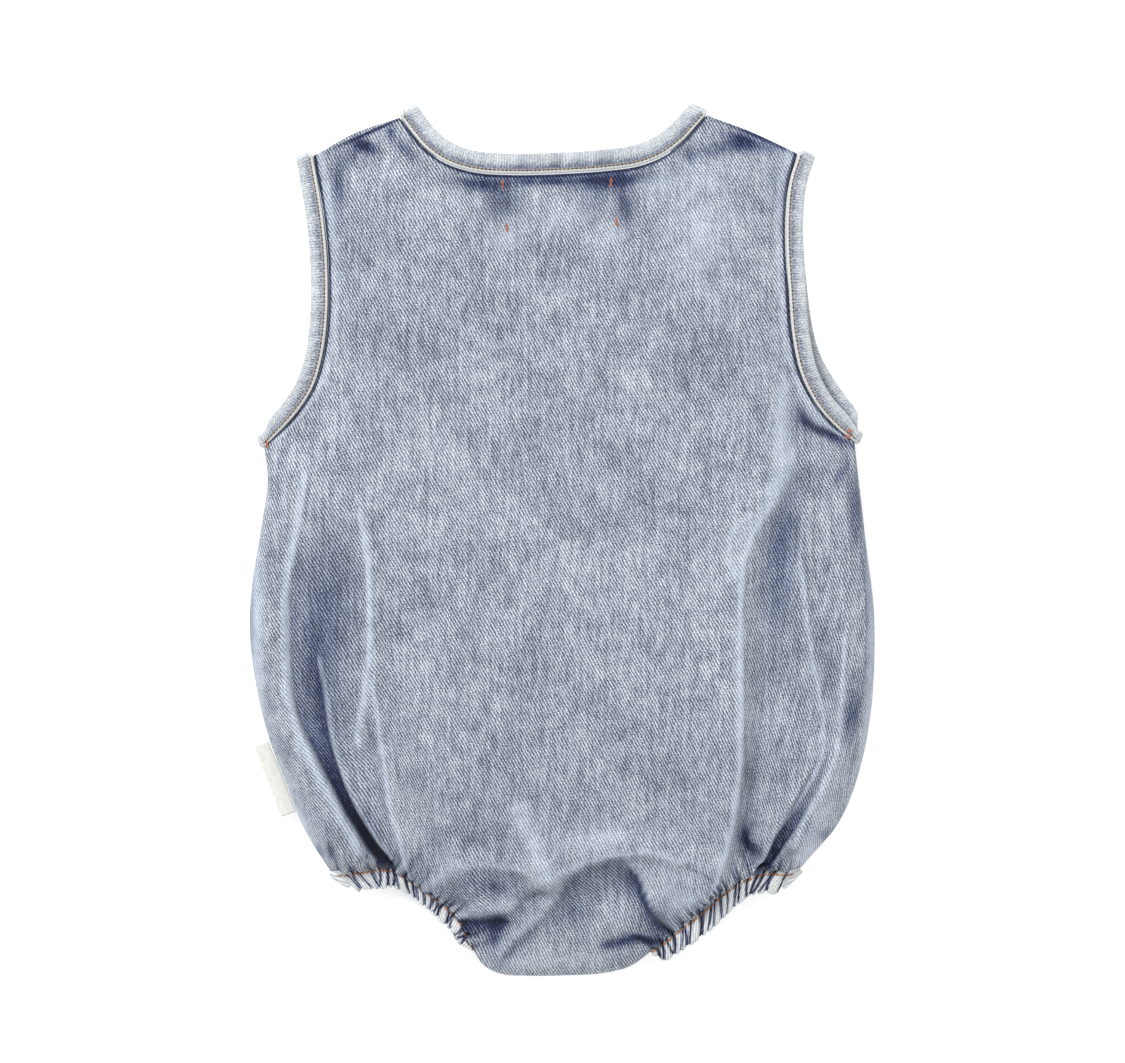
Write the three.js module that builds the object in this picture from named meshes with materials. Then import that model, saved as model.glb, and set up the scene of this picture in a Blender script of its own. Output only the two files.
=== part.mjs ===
// A baby's sleeveless bubble romper in washed denim, lying on its front with the back up.
// Millimetres. X runs across the garment, Y from the crotch to the neck, Z up from the surface it lies on.
// The cloth is a set of walls worked out from named outlines, heights and folds:
// back, front, crotch flap, neck and armhole bindings, gathered leg casings, side label and crotch snaps.
import * as THREE from "three";

// Cloth and sewing sizes
const CLOTH = 1.2;
const SEAM_GAP = 0.6;
const LEG_SEAM_GAP = 1.1;
const BINDING_THICKNESS = 2.4;
const NECK_BINDING = { width: 10, steps: 26, blend: 0.16 };
const ARM_BINDING = { width: 8.5, steps: 18, blend: 0.14 };
const CASING_THICKNESS = 3.2;
const TURN_STEPS = 5;

// The gathers of a leg casing: how many on each side, how uneven, and how much they
// widen, thicken and lift the casing
const GATHERS = {
  perSide: 18, sectionsEach: 4, uneven: 0.9, drift: 9, widen: 0.7, thicken: 0.16, lift: 0.35,
  backPhase: 0, frontPhase: 1.3, easeIn: 0.06,
};

// How the cloth rounds at the sides, the leg seams and the crotch
const SIDE_ROLL = 16;
const FLOOR_ROLL = 13;
const LEG_ROLL = 16;
const CROTCH_ROLL = 10;
const NECK_RISE = 30;
const ARM_ROLL = 42;
const GARMENT_WIDTH = 286;
// The front turns up round the right side: its way round the roll against the roll's width,
// its way over the side against the seam's inset, and how fast it climbs
const SIDE_TURN = { round: 1.4, over: 2.2, climb: 1.6 };

// Rows and columns of the panels' grids
const BACK_GRID = { roll: 3, shoulder: 4, leg: 6, crotch: 9, armRows: 10, sideRows: 24 };
const FRONT_GRID = { roll: 3, shoulder: 2, leg: 4, crotch: 6, turn: 3, armRows: 7, sideRows: 14 };

// Shares of a panel's edges: the armhole's share of a side, the shoulder's and the leg's share of an end
const ARM_SHARE = 1 / 3;
const SHOULDER_SHARE = 0.19;
const LEG_SHARE = 0.36;

// The seams and edges seen from above, [x, y]
const SHOULDER_TIP_LEFT = [-114.5, 178];
const SHOULDER_TIP_RIGHT = [108.5, 179];
const SHOULDER_MIDDLE_LEFT = [-95, 186.6];
const SHOULDER_MIDDLE_RIGHT = [88, 188.6];
const NECK_POINT_LEFT = [-75, 195.5];
const NECK_POINT_RIGHT = [67, 196.5];
const ARMPIT_LEFT = [-136.6, 43];
const ARMPIT_RIGHT = [134.5, 45];
const HEM_CORNER_LEFT = [-106.5, -152];
const HEM_CORNER_RIGHT = [109.8, -150.5];
const CROTCH_LEFT = [-40.2, -188];
const CROTCH_RIGHT = [41, -188.5];
const FRONT_CROTCH_LEFT = [-38, -190];
const FRONT_CROTCH_RIGHT = [38, -190];

const BACK_NECK = [
  NECK_POINT_LEFT, [-69.5, 187.9], [-62.7, 180.1], [-53, 173.6], [-40, 169.6], [-22, 168.4],
  [0, 168.9], [20, 170.3], [35.6, 172.6], [47, 177.2], [56, 184], [62, 190.6], NECK_POINT_RIGHT,
];
const FRONT_NECK = [
  NECK_POINT_LEFT, [-72, 183], [-62, 166], [-45, 154.5], [-25, 150.4], [-4, 149.8],
  [17, 151], [38, 156.5], [54, 168], [63, 184], NECK_POINT_RIGHT,
];
const ARMHOLE_LEFT = [
  SHOULDER_TIP_LEFT, [-110.6, 157], [-108, 137], [-107.1, 118], [-107.8, 98], [-110.4, 82],
  [-114.6, 69.5], [-122.2, 58], ARMPIT_LEFT,
];
const ARMHOLE_RIGHT = [
  SHOULDER_TIP_RIGHT, [104.4, 166], [102.7, 150], [102.7, 134], [103.7, 117], [105.6, 94],
  [109.4, 77], [116.8, 62.4], [126, 52], ARMPIT_RIGHT,
];
const ARMHOLE_RIGHT_FRONT = [
  SHOULDER_TIP_RIGHT, [104.7, 166], [103.1, 150], [103.3, 134], [104.8, 117], [107.6, 97], [111.6, 83],
  [117.2, 72.6], [124, 62.6], [131, 53.4], ARMPIT_RIGHT,
];
const SIDE_LEFT = [
  ARMPIT_LEFT, [-135.1, 28], [-138, 6], [-142, -20], [-143, -42], [-140, -67], [-134.4, -90],
  [-126.9, -110], [-118, -133], HEM_CORNER_LEFT,
];
const SIDE_RIGHT = [
  ARMPIT_RIGHT, [136.6, 25], [140, -5], [143, -30], [143.3, -56], [141.6, -80], [136.4, -106],
  [128, -128], HEM_CORNER_RIGHT,
];
// How far the right side seam lies in from the side, on the back
const RIGHT_SEAM = [
  { y: 46, inset: 0 }, { y: 37, inset: 1 }, { y: 19, inset: 3.1 }, { y: -4, inset: 3.3 },
  { y: -39, inset: 4.6 }, { y: -78, inset: 5.4 }, { y: -105, inset: 3.7 }, { y: -122, inset: 1.6 },
  { y: -136, inset: 0 },
];
const CROTCH_FOLD = [
  CROTCH_LEFT, [-35.8, -195], [-28, -199], [-14, -199.9], [2, -199.7], [18, -198.8], [31, -195.6],
  CROTCH_RIGHT,
];

// Each leg casing on the back: where its seam and its gathered edge run, and the casing's height
const CASING_LEFT_BACK = [
  { seam: HEM_CORNER_LEFT, edge: [-98.4, -157.9], height: 5.6 },
  { seam: [-99.8, -150.6], edge: [-94.6, -160.2], height: 8.6 },
  { seam: [-92.5, -149.2], edge: [-90.6, -160], height: 10 },
  { seam: [-84.6, -147.6], edge: [-84.2, -160], height: 10.6 },
  { seam: [-78.2, -148.8], edge: [-78.4, -159.4], height: 10.8 },
  { seam: [-71.6, -152.6], edge: [-72.8, -161.2], height: 11 },
  { seam: [-65, -157], edge: [-68.6, -164], height: 11 },
  { seam: [-58.4, -161.6], edge: [-62.8, -168.4], height: 11 },
  { seam: [-51.5, -166.8], edge: [-57, -173.4], height: 10.8 },
  { seam: [-46.6, -171.8], edge: [-52.4, -178], height: 10.4 },
  { seam: [-43, -178.6], edge: [-48.6, -182.8], height: 9.6 },
  { seam: CROTCH_LEFT, edge: [-45.8, -189.8], height: 8.4 },
];
const CASING_RIGHT_BACK = [
  { seam: HEM_CORNER_RIGHT, edge: [102.4, -158.4], height: 5.6 },
  { seam: [104, -150], edge: [99.4, -161], height: 8.6 },
  { seam: [96, -149.2], edge: [94, -161.6], height: 10 },
  { seam: [88, -151.2], edge: [87.4, -163.2], height: 10.6 },
  { seam: [80.2, -154.4], edge: [81, -167.2], height: 10.8 },
  { seam: [73.4, -158.8], edge: [75.6, -172.2], height: 11 },
  { seam: [67, -164.4], edge: [70.6, -177], height: 11 },
  { seam: [61, -169.6], edge: [65.6, -181.2], height: 11 },
  { seam: [54.6, -174.6], edge: [59.6, -185.4], height: 10.8 },
  { seam: [49, -179.4], edge: [53, -190], height: 10.4 },
  { seam: [44.6, -183.6], edge: [47.6, -193.2], height: 9.6 },
  { seam: CROTCH_RIGHT, edge: [42.4, -195.6], height: 8.4 },
];
// The same on the front, which lies on the surface
const CASING_LEFT_FRONT = [
  { seam: HEM_CORNER_LEFT, edge: [-98.4, -157.9] },
  { seam: [-97.4, -145.4], edge: [-93.6, -154.4] },
  { seam: [-87, -141.4], edge: [-86.4, -151.2] },
  { seam: [-76.4, -142.4], edge: [-79.6, -151.6] },
  { seam: [-66.4, -147.6], edge: [-72.6, -155.4] },
  { seam: [-57.4, -155], edge: [-65, -161.4] },
  { seam: [-49.4, -164], edge: [-57.8, -169.2] },
  { seam: [-43, -175], edge: [-52, -178.2] },
  { seam: FRONT_CROTCH_LEFT, edge: [-47.2, -188.4] },
];
const CASING_RIGHT_FRONT = [
  { seam: HEM_CORNER_RIGHT, edge: [102.4, -158.4] },
  { seam: [100, -145], edge: [96.4, -154.2] },
  { seam: [89, -141.4], edge: [88.2, -151.4] },
  { seam: [78, -142.6], edge: [80.6, -152.2] },
  { seam: [68, -148], edge: [73.4, -156.4] },
  { seam: [58.6, -155.4], edge: [65.2, -162.4] },
  { seam: [50, -164.4], edge: [57.8, -170.4] },
  { seam: [42.8, -175.4], edge: [51.6, -179.4] },
  { seam: FRONT_CROTCH_RIGHT, edge: [47.4, -188.8] },
];

// Height of the back over the surface, from the neck to the crotch
const BACK_HEIGHTS = [
  { y: 200, height: 8 }, { y: 165, height: 11.6 }, { y: 120, height: 12.8 }, { y: 60, height: 15.4 },
  { y: 0, height: 20.6 }, { y: -55, height: 26 }, { y: -105, height: 27.5 }, { y: -145, height: 22 },
  { y: -175, height: 17 }, { y: -202, height: 12.5 },
];
// Height of the two panels' side edges, by the share of the edge from shoulder to hem
const EDGE_HEIGHTS = [
  { share: 0, back: 4, front: 2.2 }, { share: 0.05, back: 7.4, front: 1 },
  { share: 0.16, back: 10.6, front: 0.6 }, { share: 0.28, back: 9.6, front: 1.4 },
  { share: ARM_SHARE, back: 7, front: 5.6 }, { share: 0.45, back: 9, front: 7.6 },
  { share: 0.6, back: 11.2, front: 9.8 }, { share: 0.76, back: 11.2, front: 9.8 },
  { share: 0.9, back: 8, front: 6.6 }, { share: 1, back: 4.7, front: 3.3 },
];
// Height of the back's neck and shoulder edge, by the share of the edge from left to right
const TOP_HEIGHTS = [
  { share: 0, back: 4 }, { share: SHOULDER_SHARE, back: 4 }, { share: 0.29, back: 9.4 },
  { share: 0.5, back: 10.8 }, { share: 0.71, back: 9.4 }, { share: 1 - SHOULDER_SHARE, back: 4 },
  { share: 1, back: 4 },
];
const FRONT_SHOULDER_HEIGHT = 2.2;
const FRONT_SHOULDER_SHOWN = 2.2;
const CROTCH_FOLD_HEIGHT = 6.4;
const FRONT_CROTCH_HEIGHT = 2.3;
const FRONT_CROTCH_FLAT = 15;
const FRONT_CROTCH_RISE = 36;

// The largest folds of the back: a run of points, the height at its two ends (below 0 is a trough),
// and how far it reaches to the left and to the right of the run, walking along it
const FOLDS = [
  { name: "deep trough left", from: -2, to: -9, left: 13, right: 7,
    run: [[-113, -8], [-115, -45], [-112, -73], [-106.5, -101], [-97, -125], [-84, -144]] },
  { name: "left puff", from: 0.5, to: 4.5, left: 6, right: 9,
    run: [[-120.5, 28], [-125, -27], [-125.6, -64], [-120.5, -87], [-107.5, -115], [-93, -138]] },
  { name: "left ridge, upper", from: 2, to: 2, left: 7, right: 8,
    run: [[-90.6, 12], [-89.2, -27], [-87, -64], [-93, -91]] },
  { name: "left ridge, lower", from: 2, to: 5, left: 14, right: 7,
    run: [[-85, -70], [-82.8, -87], [-80, -110], [-76.4, -128], [-71, -143], [-66, -152]] },
  { name: "bank of the left trough", from: 1, to: 3, left: 8, right: 7,
    run: [[-107, -72], [-104.4, -85.6], [-100.3, -105], [-94, -122], [-86, -134], [-78, -142]] },
  { name: "right ridge", from: 2, to: 4.5, left: 8, right: 18,
    run: [[101.7, 74], [98, 51], [99.8, 33], [93.4, 19], [82, 6],
      [80, -22], [81, -55], [79.6, -86], [76.4, -114], [71.8, -140]] },
  { name: "right trough", from: -3, to: -6, left: 10, right: 8,
    run: [[109.5, 28], [95.7, -9], [93.4, -45], [92, -82], [87.4, -119], [82.8, -142]] },
  { name: "deep trough right", from: -2, to: -8, left: 7, right: 7,
    run: [[119.6, -68], [115, -94], [109.5, -117], [99, -134], [93, -142]] },
  { name: "right puff", from: 1, to: 4, left: 9, right: 7,
    run: [[129, -45], [126, -73], [119.6, -101], [113, -119], [106, -134]] },
  { name: "seat crease, left", from: 2, to: 3.5, left: 9, right: 7,
    run: [[-61, -153], [-42, -151], [-26.7, -150], [-9.7, -151]] },
  { name: "seat crease, middle", from: 1, to: 3, left: 8, right: 8,
    run: [[-23, -125], [-14.7, -138], [-9.7, -150]] },
  { name: "seat crease, right", from: 3.5, to: 3.5, left: 13, right: 7,
    run: [[-9.7, -151], [6, -147], [20, -143.5], [36, -142], [52, -143.5], [66, -143]] },
  { name: "hollow of the seat", from: -3.5, to: -3.5, left: 11, right: 11,
    run: [[-4, -166], [30, -163]] },
  { name: "flap over the right casing", from: 2, to: 3, left: 10, right: 7,
    run: [[40, -147], [43, -158], [47, -166]] },
];
const RUN_POINTS = 16;

// How far the gathered cloth hangs out over the leg casings, by the share of the leg seam from the side
const OVERHANGS = [
  { leg: "left", at: 0.16, width: 0.08, reach: 5 },
  { leg: "left", at: 0.58, width: 0.16, reach: 7 },
  { leg: "right", at: 0.6, width: 0.14, reach: 5 },
  { leg: "right", at: 0.22, width: 0.08, reach: 4 },
];
const OVERHANG_DEPTH = 17;

// Which way a binding's width points at its two ends, and which way it turns round the edge, [x, y]
const NECK_ENDS = {
  start: { across: [0.9, 0.44], out: [-0.44, 0.9] },
  end: { across: [-0.92, 0.4], out: [0.4, 0.92] },
};
const ARM_LEFT_ENDS = {
  start: { across: [-0.93, -0.36], out: [-0.36, 0.93] },
  end: { across: [0.1, 1], out: [-1, 0.1] },
};
const ARM_RIGHT_ENDS = {
  start: { across: [0.93, -0.36], out: [0.36, 0.93] },
  end: { across: [0.42, 0.9], out: [0.9, -0.42] },
};
// A point inside each opening, [x, y]
const INSIDE_NECK = [-4, 300];
const INSIDE_ARM_LEFT = [-400, 120];
const INSIDE_ARM_RIGHT = [400, 120];
// The section of a binding or casing: shares of its width and of its thickness
const BAND_SECTION = [
  { width: 0, thickness: -0.3 }, { width: 0.1, thickness: -0.5 }, { width: 0.86, thickness: -0.5 },
  { width: 1, thickness: -0.2 }, { width: 1, thickness: 0.2 }, { width: 0.86, thickness: 0.5 },
  { width: 0.1, thickness: 0.5 }, { width: 0, thickness: 0.3 },
];

// The label in the left side seam, and the snaps that close the crotch
const LABEL = { from: 0.781, to: 0.896, clear: 1.1, width: 7.2, layer: 0.7, gap: 0.4, sections: 7 };
const SNAPS = { count: 3, spacing: 24, diameter: 9.5, fromHem: 8, sides: 20 };
const SNAP_PROFILE = [
  { radius: 0, height: 0 }, { radius: 0.55, height: 0.06 }, { radius: 0.86, height: 0.3 },
  { radius: 1, height: 0.7 }, { radius: 1, height: 1.2 }, { radius: 0, height: 1.2 },
];
// The crotch flap: how far it lies over the front, its height, the share of the fold that it leaves
// free at each end, how far its turn goes in, and how much each row narrows
const FLAP = {
  reach: 14, height: 3.9, margin: 0.06, turnIn: 6, turnNarrows: 0.012, narrows: 0.01,
  turnSteps: 3, steps: 6, columns: 12,
};

const COLOURS = { denim: 0xa0a8b5, binding: 0xd2d6da, casing: 0xb4bac4, label: 0xe6e5de, metal: 0xb9bcc0 };

const smooth = (t) => {
  const s = Math.min(Math.max(t, 0), 1);
  return s * s * (3 - 2 * s);
};
const quarterRound = (t) => (t < 1 ? Math.sqrt(1 - (1 - t) ** 2) : 1);
const halfRound = (t) => (t < 1 ? 0.7 * t * (2 - t) + 0.3 * quarterRound(t) : 1);
const bump = (t) => Math.exp(-t * t);

// A smooth value from a table's column, between the rows whose key brackets the place
function fromTable(rows, key, column, at) {
  const rising = rows[0][key] < rows[rows.length - 1][key];
  const order = rising ? rows : [...rows].reverse();
  const x = order.map((r) => r[key]);
  const y = order.map((r) => r[column]);
  const last = x.length - 1;
  const place = Math.min(Math.max(at, x[0]), x[last]);
  let i = 0;
  while (i < last - 1 && place > x[i + 1]) i += 1;
  const slope = (k) => {
    if (k === 0 || k === last) return 0;
    const before = (y[k] - y[k - 1]) / (x[k] - x[k - 1]);
    const after = (y[k + 1] - y[k]) / (x[k + 1] - x[k]);
    return before * after > 0 ? (2 * before * after) / (before + after) : 0;
  };
  const h = x[i + 1] - x[i];
  const t = (place - x[i]) / h;
  const t2 = t * t;
  const t3 = t2 * t;
  return (
    (2 * t3 - 3 * t2 + 1) * y[i] + (t3 - 2 * t2 + t) * h * slope(i) +
    (3 * t2 - 2 * t3) * y[i + 1] + (t3 - t2) * h * slope(i + 1)
  );
}

// A curve in plan through [x, y] points, read by the share of its length
function planCurve(points) {
  const places = points.map(([x, y]) => new THREE.Vector3(x, y, 0));
  const curve = new THREE.CatmullRomCurve3(places, false, "centripetal");
  curve.arcLengthDivisions = 300;
  return (t) => curve.getPointAt(Math.min(Math.max(t, 0), 1));
}

// The straight runs of a panel's edge between its columns or rows, read like the curve they follow
function chords(curve, shares) {
  const points = shares.map((t) => curve(t));
  return (t) => {
    let i = 0;
    while (i < shares.length - 2 && t > shares[i + 1]) i += 1;
    return points[i].clone().lerp(points[i + 1], (t - shares[i]) / (shares[i + 1] - shares[i]));
  };
}

// Curves joined end to end, each over its own share of 0 to 1
function chain(...parts) {
  return (t) => {
    let start = 0;
    for (const { curve, share } of parts) {
      if (t <= start + share + 1e-9) return curve((t - start) / share);
      start += share;
    }
    return parts[parts.length - 1].curve(1);
  };
}

// A patch of cloth between four edges
function patchBetween(top, bottom, left, right) {
  const corners = [top(0), top(1), bottom(0), bottom(1)];
  return (u, v) => {
    const point = new THREE.Vector3();
    point.addScaledVector(top(u), 1 - v).addScaledVector(bottom(u), v);
    point.addScaledVector(left(v), 1 - u).addScaledVector(right(v), u);
    point.addScaledVector(corners[0], -(1 - u) * (1 - v)).addScaledVector(corners[1], -u * (1 - v));
    point.addScaledVector(corners[2], -(1 - u) * v).addScaledVector(corners[3], -u * v);
    return point;
  };
}

const seamOf = (rows) => planCurve(rows.map((r) => r.seam));
const leftEdge = chain(
  { curve: planCurve(ARMHOLE_LEFT), share: ARM_SHARE },
  { curve: planCurve(SIDE_LEFT), share: 1 - ARM_SHARE },
);
const rightEdge = (armhole) => chain(
  { curve: planCurve(armhole), share: ARM_SHARE },
  { curve: planCurve(SIDE_RIGHT), share: 1 - ARM_SHARE },
);
function topEdge(neck, shoulderRise) {
  const [x, y] = SHOULDER_MIDDLE_LEFT;
  const shoulderLeft = planCurve([SHOULDER_TIP_LEFT, [x, y + shoulderRise], NECK_POINT_LEFT]);
  const shoulderRight = planCurve([NECK_POINT_RIGHT, SHOULDER_MIDDLE_RIGHT, SHOULDER_TIP_RIGHT]);
  return chain(
    { curve: shoulderLeft, share: SHOULDER_SHARE },
    { curve: planCurve(neck), share: 1 - 2 * SHOULDER_SHARE },
    { curve: shoulderRight, share: SHOULDER_SHARE },
  );
}
function bottomEdge(leftCasing, crotch, rightCasing) {
  const rightSeam = seamOf(rightCasing);
  return chain(
    { curve: seamOf(leftCasing), share: LEG_SHARE },
    { curve: planCurve(crotch), share: 1 - 2 * LEG_SHARE },
    { curve: (t) => rightSeam(1 - t), share: LEG_SHARE },
  );
}
const backPatch = patchBetween(
  topEdge(BACK_NECK, 0),
  bottomEdge(CASING_LEFT_BACK, CROTCH_FOLD, CASING_RIGHT_BACK),
  leftEdge, rightEdge(ARMHOLE_RIGHT),
);
const frontPatch = patchBetween(
  topEdge(FRONT_NECK, FRONT_SHOULDER_SHOWN),
  bottomEdge(CASING_LEFT_FRONT, [FRONT_CROTCH_LEFT, FRONT_CROTCH_RIGHT], CASING_RIGHT_FRONT),
  leftEdge, rightEdge(ARMHOLE_RIGHT_FRONT),
);

// Where a point of the plan lies from a fold's run: how far, on which side, and how far along
const runs = FOLDS.map((fold) => {
  const curve = planCurve(fold.run);
  return { ...fold, points: Array.from({ length: RUN_POINTS + 1 }, (_, i) => curve(i / RUN_POINTS)) };
});
function fromRun(fold, x, y) {
  let best = { distance: Infinity };
  for (let i = 0; i < RUN_POINTS; i += 1) {
    const a = fold.points[i];
    const b = fold.points[i + 1];
    const dx = b.x - a.x;
    const dy = b.y - a.y;
    const t = Math.min(Math.max(((x - a.x) * dx + (y - a.y) * dy) / (dx * dx + dy * dy), 0), 1);
    const distance = Math.hypot(x - a.x - t * dx, y - a.y - t * dy);
    const onLeft = dx * (y - a.y) - dy * (x - a.x) > 0;
    if (distance < best.distance) best = { distance, onLeft, along: (i + t) / RUN_POINTS };
  }
  return best;
}
function foldHeight(x, y) {
  return runs.reduce((sum, fold) => {
    const { distance, onLeft, along } = fromRun(fold, x, y);
    const reach = onLeft ? fold.left : fold.right;
    return sum + (fold.from + (fold.to - fold.from) * along) * bump(distance / reach);
  }, 0);
}

// The share of a leg's seam that a column of the panel meets, or null at the crotch
function legShare(u) {
  if (u < LEG_SHARE) return { leg: "left", at: u / LEG_SHARE };
  if (u > 1 - LEG_SHARE) return { leg: "right", at: (1 - u) / LEG_SHARE };
  return null;
}
function casingHeight(rows, at) {
  const heights = rows.map((r, i) => ({ share: i / (rows.length - 1), height: r.height }));
  return fromTable(heights, "share", "height", at);
}
function backBottomHeight(u) {
  const leg = legShare(u);
  if (!leg) {
    const inward = Math.min(u - LEG_SHARE, 1 - LEG_SHARE - u) / 0.05;
    const end = CASING_LEFT_BACK[CASING_LEFT_BACK.length - 1].height;
    return end + (CROTCH_FOLD_HEIGHT - end) * smooth(inward);
  }
  const rows = leg.leg === "left" ? CASING_LEFT_BACK : CASING_RIGHT_BACK;
  const corner = EDGE_HEIGHTS[EDGE_HEIGHTS.length - 1].back;
  return corner + (casingHeight(rows, leg.at) - corner) * smooth(leg.at / 0.12);
}

// How far the panel reaches out over the leg casing, by the place on the seam and the way in from it
function overhangAt(u, toBottom) {
  const leg = legShare(u);
  if (!leg) return 0;
  const reach = OVERHANGS.filter((o) => o.leg === leg.leg).reduce(
    (sum, o) => sum + o.reach * bump((leg.at - o.at) / o.width), 0,
  );
  const t = toBottom / OVERHANG_DEPTH;
  return t < 1 ? reach * Math.sin(Math.PI * t) ** 2 : 0;
}

// The nearest place on the back's lower edge: how far it is, which column meets it, and which way it lies
const lowerEdge = Array.from({ length: 121 }, (_, i) => backPatch(i / 120, 1));
function toLowerEdge(point) {
  let best = { distance: Infinity };
  for (let i = 0; i < lowerEdge.length - 1; i += 1) {
    const a = lowerEdge[i];
    const way = lowerEdge[i + 1].clone().sub(a);
    const t = Math.min(Math.max(point.clone().sub(a).dot(way) / way.lengthSq(), 0), 1);
    const out = a.clone().addScaledVector(way, t).sub(point);
    const distance = out.length();
    if (distance < best.distance) best = { distance, out, u: (i + t) / (lowerEdge.length - 1) };
  }
  best.out.normalize();
  return best;
}

// The middle of the back's cloth at a place of its patch: open cloth with its folds, down to its four edges
function backPoint(u, v) {
  const plan = backPatch(u, v);
  const width = backPatch(1, v).x - backPatch(0, v).x;
  const toSide = Math.min(u, 1 - u) * width;
  const toTop = v * (backPatch(u, 0).y - backPatch(u, 1).y);
  const hem = toLowerEdge(plan);
  const inFold = smooth(toSide / 9) * smooth(hem.distance / 8) * smooth(toTop / 14);
  const open = fromTable(BACK_HEIGHTS, "y", "height", plan.y) + foldHeight(plan.x, plan.y) * inFold;

  const side = fromTable(EDGE_HEIGHTS, "share", "back", v);
  const below = smooth((v - ARM_SHARE + 0.04) / 0.1);
  const sideRise = quarterRound(toSide / SIDE_ROLL) * below + smooth(toSide / ARM_ROLL) * (1 - below);
  const acrossHeight = side + (open - side) * sideRise;

  const top = fromTable(TOP_HEIGHTS, "share", "back", u);
  const downHeight = top + (acrossHeight - top) * smooth(toTop / NECK_RISE);

  const bottom = backBottomHeight(hem.u);
  const atCrotch = smooth((Math.min(hem.u, 1 - hem.u) - LEG_SHARE + 0.02) / 0.05);
  const legRise = halfRound(hem.distance / LEG_ROLL);
  const crotchRise = quarterRound(hem.distance / CROTCH_ROLL);
  const hemRise = legRise * (1 - atCrotch) + crotchRise * atCrotch;
  plan.addScaledVector(hem.out, overhangAt(hem.u, hem.distance));
  return plan.setZ(bottom + (downHeight - bottom) * hemRise);
}

// The middle of the front's cloth: flat on the surface, and rising to the side seams
function frontPoint(u, v) {
  const plan = frontPatch(u, v);
  const width = frontPatch(1, v).x - frontPatch(0, v).x;
  const length = frontPatch(u, 0).y - frontPatch(u, 1).y;
  const toSide = Math.min(u, 1 - u) * width;
  const toTop = v * length;
  const toBottom = (1 - v) * length;
  const floor = CLOTH / 2;
  const edge = fromTable(EDGE_HEIGHTS, "share", "front", v);
  let z = edge + (floor - edge) * quarterRound(toSide / FLOOR_ROLL);
  const onShoulder = 1 - smooth((Math.min(u, 1 - u) - SHOULDER_SHARE + 0.02) / 0.02);
  z = Math.max(z, floor + (FRONT_SHOULDER_HEIGHT - floor) * onShoulder * (1 - smooth(toTop / 12)));
  const atCrotch = smooth((Math.min(u, 1 - u) - LEG_SHARE + 0.06) / 0.05);
  const hem = 1 - smooth((toBottom - FRONT_CROTCH_FLAT) / (FRONT_CROTCH_RISE - FRONT_CROTCH_FLAT));
  z += (FRONT_CROTCH_HEIGHT - floor) * atCrotch * hem;
  return plan.setZ(z);
}

// The places of a grid's columns: close together where the sides round,
// and one at each end of the neck and the legs
const series = (count, make) => Array.from({ length: count }, (_, i) => make(i));
function columnShares(grid) {
  const roll = SIDE_ROLL / GARMENT_WIDTH;
  const steps = (from, to, count) => series(count, (i) => from + (to - from) * (i / count));
  const half = [
    ...series(grid.roll, (i) => roll * (1 - Math.cos((Math.PI / 2) * (i / grid.roll)))),
    ...steps(roll, SHOULDER_SHARE, grid.shoulder),
    ...steps(SHOULDER_SHARE, LEG_SHARE, grid.leg),
  ];
  const crotch = steps(LEG_SHARE, 1 - LEG_SHARE, grid.crotch);
  return [...half, ...crotch, 1 - LEG_SHARE, ...half.map((u) => 1 - u).reverse()];
}
function rowShares({ armRows, sideRows }) {
  const arm = Array.from({ length: armRows }, (_, i) => ARM_SHARE * (i / armRows));
  const side = Array.from({ length: sideRows + 1 }, (_, i) => {
    const t = i / sideRows;
    return ARM_SHARE + (1 - ARM_SHARE) * (1 - (1 - t) ** 1.25);
  });
  return [...arm, ...side];
}
// The same places along one stretch of the edge, as shares of that stretch
function sharesWithin(shares, from, to) {
  const inside = shares.filter((s) => s > from - 1e-9 && s < to + 1e-9);
  return inside.map((s) => (s - from) / (to - from));
}
const backColumns = columnShares(BACK_GRID);
const frontColumns = columnShares(FRONT_GRID);
const backRows = rowShares(BACK_GRID);
const frontRows = rowShares(FRONT_GRID);

// A closed wall of the cloth's thickness on both sides of a grid of points
function wallOf(points, thickness) {
  const rows = points.length;
  const columns = points[0].length;
  const at = (j, i) => points[Math.min(Math.max(j, 0), rows - 1)][Math.min(Math.max(i, 0), columns - 1)];
  const position = [];
  for (const side of [0.5, -0.5]) {
    for (let j = 0; j < rows; j += 1) {
      for (let i = 0; i < columns; i += 1) {
        const across = at(j, i + 1).clone().sub(at(j, i - 1));
        const down = at(j + 1, i).clone().sub(at(j - 1, i));
        const normal = down.cross(across).normalize();
        const p = points[j][i].clone().addScaledVector(normal, side * thickness);
        position.push(p.x, p.y, Math.max(p.z, 0));
      }
    }
  }
  const size = rows * columns;
  const index = [];
  const quad = (a, b, c, d) => index.push(a, b, c, a, c, d);
  for (let j = 0; j < rows - 1; j += 1) {
    for (let i = 0; i < columns - 1; i += 1) {
      const a = j * columns + i;
      quad(a, a + columns, a + columns + 1, a + 1);
      quad(size + a, size + a + 1, size + a + columns + 1, size + a + columns);
    }
  }
  for (let i = 0; i < columns - 1; i += 1) {
    const b = (rows - 1) * columns + i;
    quad(i, i + 1, size + i + 1, size + i);
    quad(b + 1, b, size + b, size + b + 1);
  }
  for (let j = 0; j < rows - 1; j += 1) {
    const a = j * columns;
    const b = a + columns - 1;
    quad(a + columns, a, size + a, size + a + columns);
    quad(b, b + columns, size + b + columns, size + b);
  }
  return geometryOf(position, index);
}

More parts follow.
